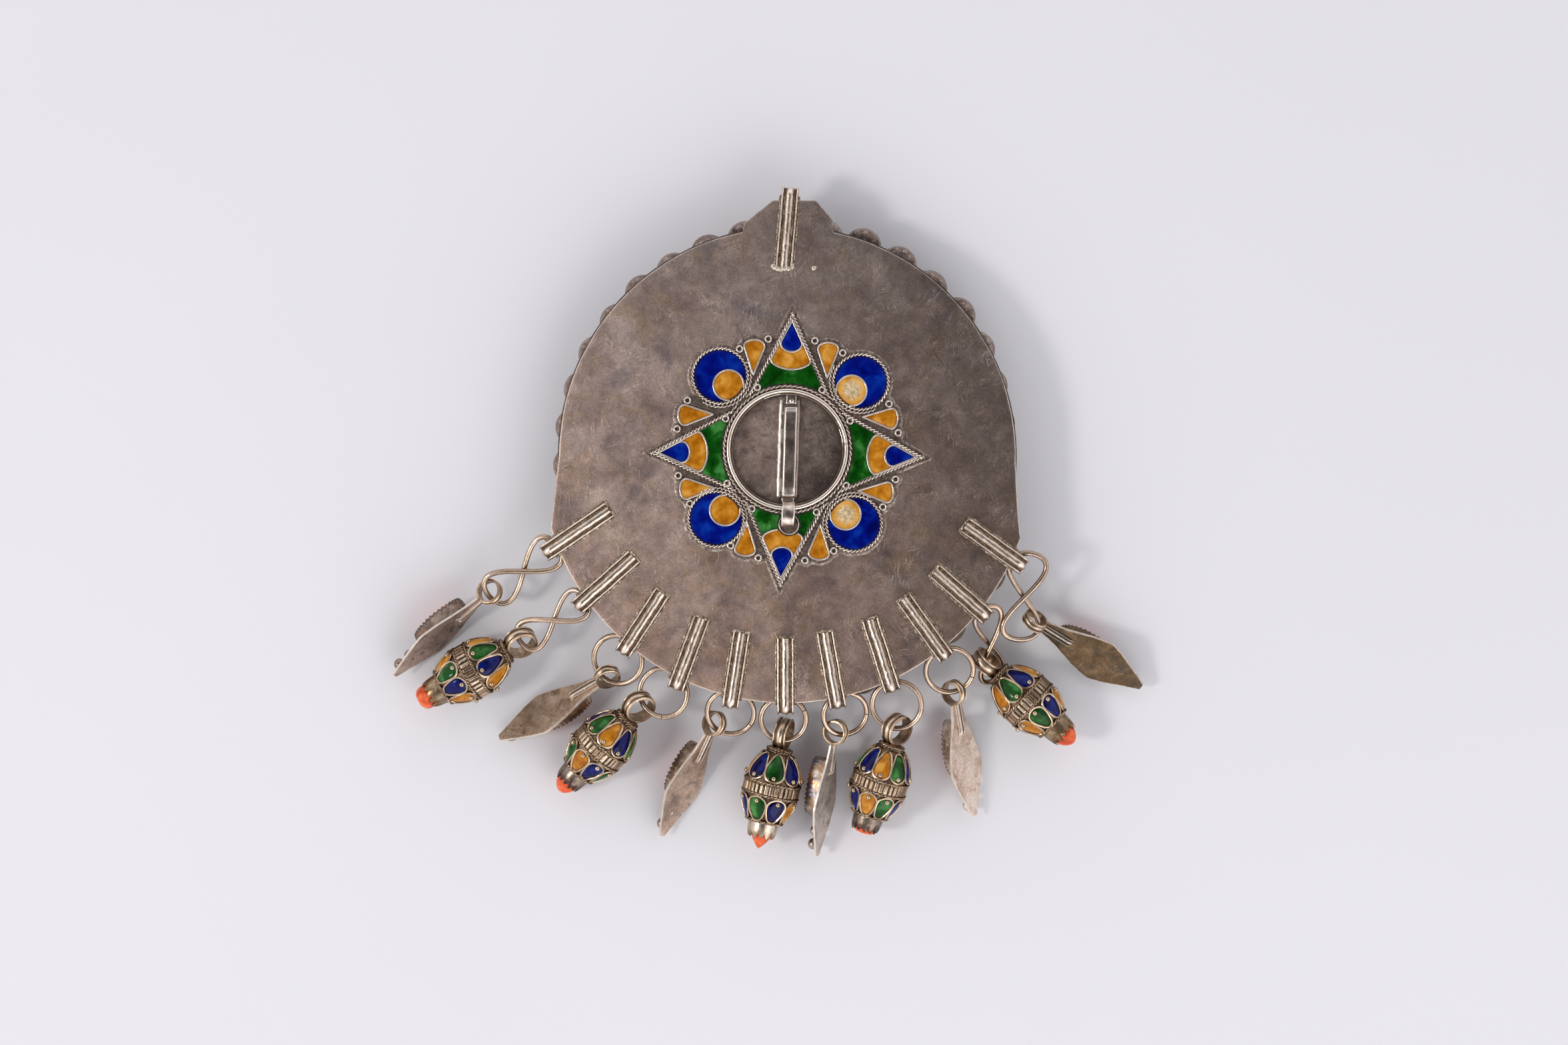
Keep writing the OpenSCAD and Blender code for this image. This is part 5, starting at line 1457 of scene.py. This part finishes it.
# Lozenge drops: a dished plate with a grooved strip and loop behind, a toothed bezel, its stone and two balls in front.
lozenge = {
    "from": 3.0, "length": 30.0, "width": 13.0, "wideAt": 0.57, "thick": 0.7, "dish": 0.32,
    "loop": (2.7, 2.4, 0.35, 0.28), "teeth": 36, "toothDeep": 0.75,
    "strip": (8.0, 2.2), "bezel": (7.0, 23.0, 7.4, 4.2), "ball": 1.5, "balls": (26.6, 30.2),
    # number, x, y, z of the loop's middle, heading, pitch, roll
    "drops": [
        (1, -76.55, -36.45, 8, 221, 5.6, -65), (3, -46.2, -58.2, 9.1, 209.8, 10.7, 44),
        (5, -18.7, -70.2, 9.2, 244.8, 11.3, -51.9), (7, 12.35, -72.4, 9.5, 261.7, 10, -66),
        (9, 42.8, -62.3, 8.75, 279.7, 9.8, -47.8), (11, 63.65, -43.85, 8.4, 328.4, 8.3, 32.2)],
    # heat colours on some of the bezels
    "colours": {
        1: {"stain": (0.1, 0.065, 0.05), "stainSize": 4, "tint": (0.42, 0.2, 0.1), "tintSize": 3,
            "dark": (0.08, 0.055, 0.045), "base": (0.2, 0.145, 0.115), "light": (0.42, 0.33, 0.27)},
        5: {"stain": (0.5, 0.4, 0.3), "stainSize": 4, "tint": (0.08, 0.06, 0.06), "tintSize": 3},
        7: {"stain": (0.5, 0.22, 0.06), "stainSize": 6, "stainFrom": 0.46, "stainShare": 0.9, "tint": (0.1, 0.14, 0.25),
            "tintSize": 5, "tintShare": 0.8, "base": (0.5, 0.4, 0.32), "dark": (0.14, 0.09, 0.06)}},
    # dark, middle and light tone of each plate, and of its stains
    "tones": {
        1: ((0.3, 0.2, 0.155), (0.55, 0.4, 0.32), (0.75, 0.58, 0.48), (0.1, 0.055, 0.035)),
        3: ((0.4, 0.27, 0.18), (0.68, 0.49, 0.35), (0.85, 0.66, 0.5), (0.3, 0.18, 0.11)),
        5: ((0.3, 0.2, 0.14), (0.56, 0.4, 0.3), (0.78, 0.61, 0.48), (0.17, 0.16, 0.165)),
        # plate 7 is painted lighter to stand in for the fill light on its face, which turns away from the key; its pale
        # cream colour is partly its own
        7: ((0.3, 0.22, 0.19), (0.62, 0.52, 0.45), (0.88, 0.79, 0.7), (0.2, 0.12, 0.075)),
        9: ((0.62, 0.45, 0.35), (0.9, 0.71, 0.59), (1.0, 0.85, 0.74), (0.5, 0.32, 0.22)),
        11: ((0.08, 0.046, 0.022), (0.165, 0.1, 0.048), (0.31, 0.2, 0.1), (0.06, 0.065, 0.055))},
}


def lozengeHalf(x):
    start, end = lozenge["from"], lozenge["from"] + lozenge["length"]
    wide = start + lozenge["length"] * lozenge["wideAt"]
    half = lozenge["width"] / 2
    xs = [start, start + 5, wide - 5, wide, wide + 4, end - 1.2, end]
    ys = [1.9, 2.9, half - 1.1, half, half - 1.4, 1.5, 1.0]
    return np.mean([np.interp(x + k, xs, ys) for k in (-0.8, -0.4, 0, 0.4, 0.8)], 0)


def dishedPlate(seed):
    rows, columns = 90, 25
    start, end, thick = lozenge["from"], lozenge["from"] + lozenge["length"], lozenge["thick"]
    x = start + lozenge["length"] * (0.5 - 0.5 * np.cos(math.pi * np.linspace(0, 1, rows)))
    v = np.sin(np.linspace(-1, 1, columns) * math.pi / 2)
    ends = np.clip(np.minimum(x - start, end - x) / 0.35, 0, 1) ** 0.5
    half = (lozengeHalf(x) - 0.04) * (0.82 + 0.18 * ends) + ripple(x[:, None], 0.9, seed) * 0.05
    y = half[:, None] * v
    x = np.broadcast_to(x[:, None], y.shape)
    spots = np.stack([x, y], -1)
    rim = np.clip(1 - (half[:, None] - np.abs(y)) / 0.6, 0, 1)
    sag = lozenge["dish"] * (1 - v ** 4) * np.clip((x - 8) / 5, 0, 1) * np.clip((33 - x) / 4, 0, 1)
    z = np.minimum(thick / 2 - sag + ripple(spots, 0.5, seed) * 0.05 - 0.12 * rim ** 2, thick / 2)
    top = np.stack([x, y, z], -1)
    bottom = np.stack([x, y, -thick / 2 + 0.06 * rim], -1)
    wear = 0.48 + 0.45 * rim ** 2 + ripple(spots, 1.0, seed + 1) * 0.06
    count = rows * columns
    faces = gridFaces(rows, columns) + [tuple(count + i for i in reversed(f)) for f in gridFaces(rows, columns)]
    loop = list(range(columns)) + [i * columns + columns - 1 for i in range(1, rows)]
    loop += [(rows - 1) * columns + k for k in range(columns - 2, -1, -1)]
    loop += [i * columns for i in range(rows - 2, 0, -1)]
    faces += [(b, a, count + a, count + b) for a, b in zip(loop, loop[1:] + loop[:1])]
    return part(np.stack([top, bottom]), faces, np.tile(wear.ravel(), 2))


def leafOval(inset, count):
    start, end, wide, _ = lozenge["bezel"]
    t = fullTurn(count)
    return np.stack([(start + end) / 2 + ((end - start) / 2 - inset) * np.cos(t),
                     (wide / 2 - inset) * np.sin(t) * (1 + 0.12 * np.cos(t))], -1)


def toothedBezel(seed):
    teeth = lozenge["teeth"]
    count = teeth * 6
    uneven = np.random.default_rng(seed).uniform(0.5, 1.0, teeth)[np.arange(count) // 6]
    tip = lozenge["bezel"][3] - lozenge["toothDeep"] * uneven * sawTeeth(count, teeth) ** 1.2
    columns, wear = [], []

    def addRing(foot, lip, share, value):
        # from the foot of the wall (share 0) to its teeth (share 1), leaning in near them
        foot, lip = leafOval(foot, count), leafOval(lip, count)
        ring = foot + (lip - foot) * max(0, share - 0.7) / 0.3
        columns.append(raised(ring, -lozenge["thick"] / 2 - tip * share))
        wear.append(value)

    shares = [0, 0.5, 0.75, 0.9, 1.0]
    for share in shares:
        addRing(0.02, 0.4, share, 0.55 - 0.4 * share ** 4)
    for share in reversed(shares):
        addRing(0.42, 0.75, share, 0.35)
    faces = gridFaces(count, len(columns), closedRows=True, closedColumns=True)
    return part(np.stack(columns, 1), faces, np.tile(wear, count))


def bezelStone():
    count = 90
    high = lozenge["bezel"][3]
    base = -lozenge["thick"] / 2 - 0.05
    rings = [(0.5, 0.0), (0.5, high - 1.2), (0.7, high - 0.8)]
    for t in np.linspace(0.15, math.pi / 2, 7):
        rings.append((0.7 + 2.6 * (1 - math.cos(t)), high - 0.8 + 1.25 * math.sin(t)))
    grid = np.stack([raised(leafOval(inset, count), base - h) for inset, h in rings], 1)
    faces = gridFaces(count, len(rings), closedRows=True)
    for k in (0, len(rings) - 1):
        faces.append(tuple(i * len(rings) + k for i in range(count)))
    return part(grid, faces, 0.9)


def groovedStrip():
    length, width = lozenge["strip"]
    end = lozenge["from"] + length
    section, wear = ribSection(width, 0.3, 0.3)
    x = np.linspace(lozenge["from"] - 0.2, end, 30)
    z = lozenge["thick"] / 2 - 0.15 - 0.35 * np.clip((x - (end - 0.8)) / 0.8, 0, 1) ** 2
    return sweep(np.stack([x, 0 * x, z], -1), section, wear=wear)


for number, x, y, z, heading, pitch, roll in lozenge["drops"]:
    lay, at = turnMatrix(heading, pitch, roll), (x, y, z)
    dark, base, light, stain = lozenge["tones"][number]
    finish = metalFinish(f"lozenge silver {number}", {
        "dark": dark, "base": base, "light": light, "stain": stain, "bright": (0.82, 0.75, 0.66),
        "hollow": (0.07, 0.05, 0.04), "cloud": 5, "rough": 0.36, "bump": 0.7, "stainSize": 4.5, "stainShare": 0.9,
        "stainFrom": 0.52, "scratch": 0.3, "metal": 0.65, "mottle": 0.4, "lines": (1.0, 7.0, 0.008, 6.0),
        "angles": (15, 60, 110), "seed": 30.0 + number})
    makePiece(f"lozenge_plate_{number}", placed(join([dishedPlate(number), groovedStrip()]), lay, at), finish, brooch,
              [f"lozenge_{number}"])
    front = [toothedBezel(number)]
    for ballX in lozenge["balls"]:
        front.append(ball((ballX, 0, -lozenge["thick"] / 2 - lozenge["ball"] * 0.7), lozenge["ball"], 24, 1.0, 0.7))
    bezelFinish = metalFinish(f"bezel silver {number}", {
        "dark": tuple(c * 0.45 for c in base), "base": tuple(c * 0.85 for c in base),
        "light": tuple(c * 1.25 for c in light), "bright": (0.9, 0.8, 0.68), "hollow": (0.035, 0.025, 0.02),
        "cloud": 3.5, "rough": 0.28, "bump": 0.7, "hollowTo": 0.45, "rubShare": 0.25, "seed": 50.0 + number,
        **lozenge["colours"].get(number, {})})
    makePiece(f"lozenge_bezel_{number}", placed(join(front), lay, at), bezelFinish, brooch)
    loop = ribbedLoop(*lozenge["loop"])
    makePiece(f"lozenge_loop_{number}", placed(loop, lay, at), loopMetal, brooch)
    makePiece(f"bezel_stone_{number}", placed(bezelStone(), lay, at), coralStone, brooch,
              [f"lozenge_coral_{number}"])
print("lozenge drops made")

# The front sheet with its rim bosses and the hollow boss of the pin stay as the frame has them.
for node in ("front_plate", "pin_boss"):
    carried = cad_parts[node]
    carried.data.materials.clear()
    dressMesh(carried.data, edgeMetal, np.full(len(carried.data.vertices), 0.5), 35)
print("front sheet and pin boss dressed")

# Floor, light and camera.
studio = {
    "floorSize": 4.0, "floor": (0.8, 0.8, 0.83), "world": (1.015, 1.0, 1.04),
    # brightness of the surroundings, from level at 0 to straight overhead at 1
    "surround": [(0.0, 1.05), (0.5, 1.11), (0.72, 0.82), (0.86, 0.3), (0.95, 0.12), (1.0, 0.05)],
    "camera": (-0.85, -18.6, 915), "lens": 81.0,
    # light name, place in mm, size in mm, watts, colour
    "lights": [
        ("key", (-1150, -260, 1120), 330, 6.7, (1.0, 0.965, 0.93)),
        ("fill", (480, -900, 700), 1100, 4.2, (1.0, 0.985, 0.975)),
    ],
}


def paperFloor():
    finish, tree, _, clouds = newFinish("pale floor", 0.0)
    darker = tuple(c * 0.985 for c in studio["floor"])
    tone = ramp(tree, clouds(120, 3, 0.5, 0, 1.0), (0.3, darker), (0.7, studio["floor"]))
    return closeFinish(finish, tree, clouds(0.8, 4, 0.6, 0, 2.0), 0.25, 0.0001,
                       {"Base Color": tone, "Roughness": 0.75, "Specular IOR Level": 0.2})


half = studio["floorSize"] / 2
floorMesh = bpy.data.meshes.new("floor")
floorMesh.from_pydata([(-half, -half, 0), (half, -half, 0), (half, half, 0), (-half, half, 0)], [], [(0, 1, 2, 3)])
floorMesh.materials.append(paperFloor())
floor = addObject("floor", floorMesh)
floor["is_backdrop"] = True

for name, spot, size, watts, colour in studio["lights"]:
    lamp = bpy.data.lights.new(name, "AREA")
    lamp.shape, lamp.size, lamp.energy, lamp.color = "DISK", size * mm, watts, colour
    holder = addObject(name, lamp)
    holder.location = Vector(spot) * mm
    holder.rotation_euler = (Vector((0, -0.02, 0)) - holder.location).to_track_quat("-Z", "Y").to_euler()
    holder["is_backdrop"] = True

world = bpy.data.worlds.new("studio")
world.use_nodes = True
background = world.node_tree.nodes["Background"]
background.inputs["Color"].default_value = (*studio["world"], 1)
toward = addNode(world.node_tree, "ShaderNodeTexCoord").outputs["Generated"]
height = addNode(world.node_tree, "ShaderNodeSeparateXYZ", {"Vector": toward}).outputs["Z"]
world.node_tree.links.new(ramp(world.node_tree, height, *studio["surround"]), background.inputs["Strength"])
bpy.context.scene.world = world
bpy.context.scene.view_settings.view_transform = "Standard"

cameraData = bpy.data.cameras.new("camera")
cameraData.sensor_fit, cameraData.sensor_width, cameraData.lens = "HORIZONTAL", 36.0, studio["lens"]
cameraData.clip_start, cameraData.clip_end = 0.05, 10
camera = addObject("camera", cameraData)
camera.location = Vector(studio["camera"]) * mm
bpy.context.scene.camera = camera
print("studio made")

print("triangles", triangles())
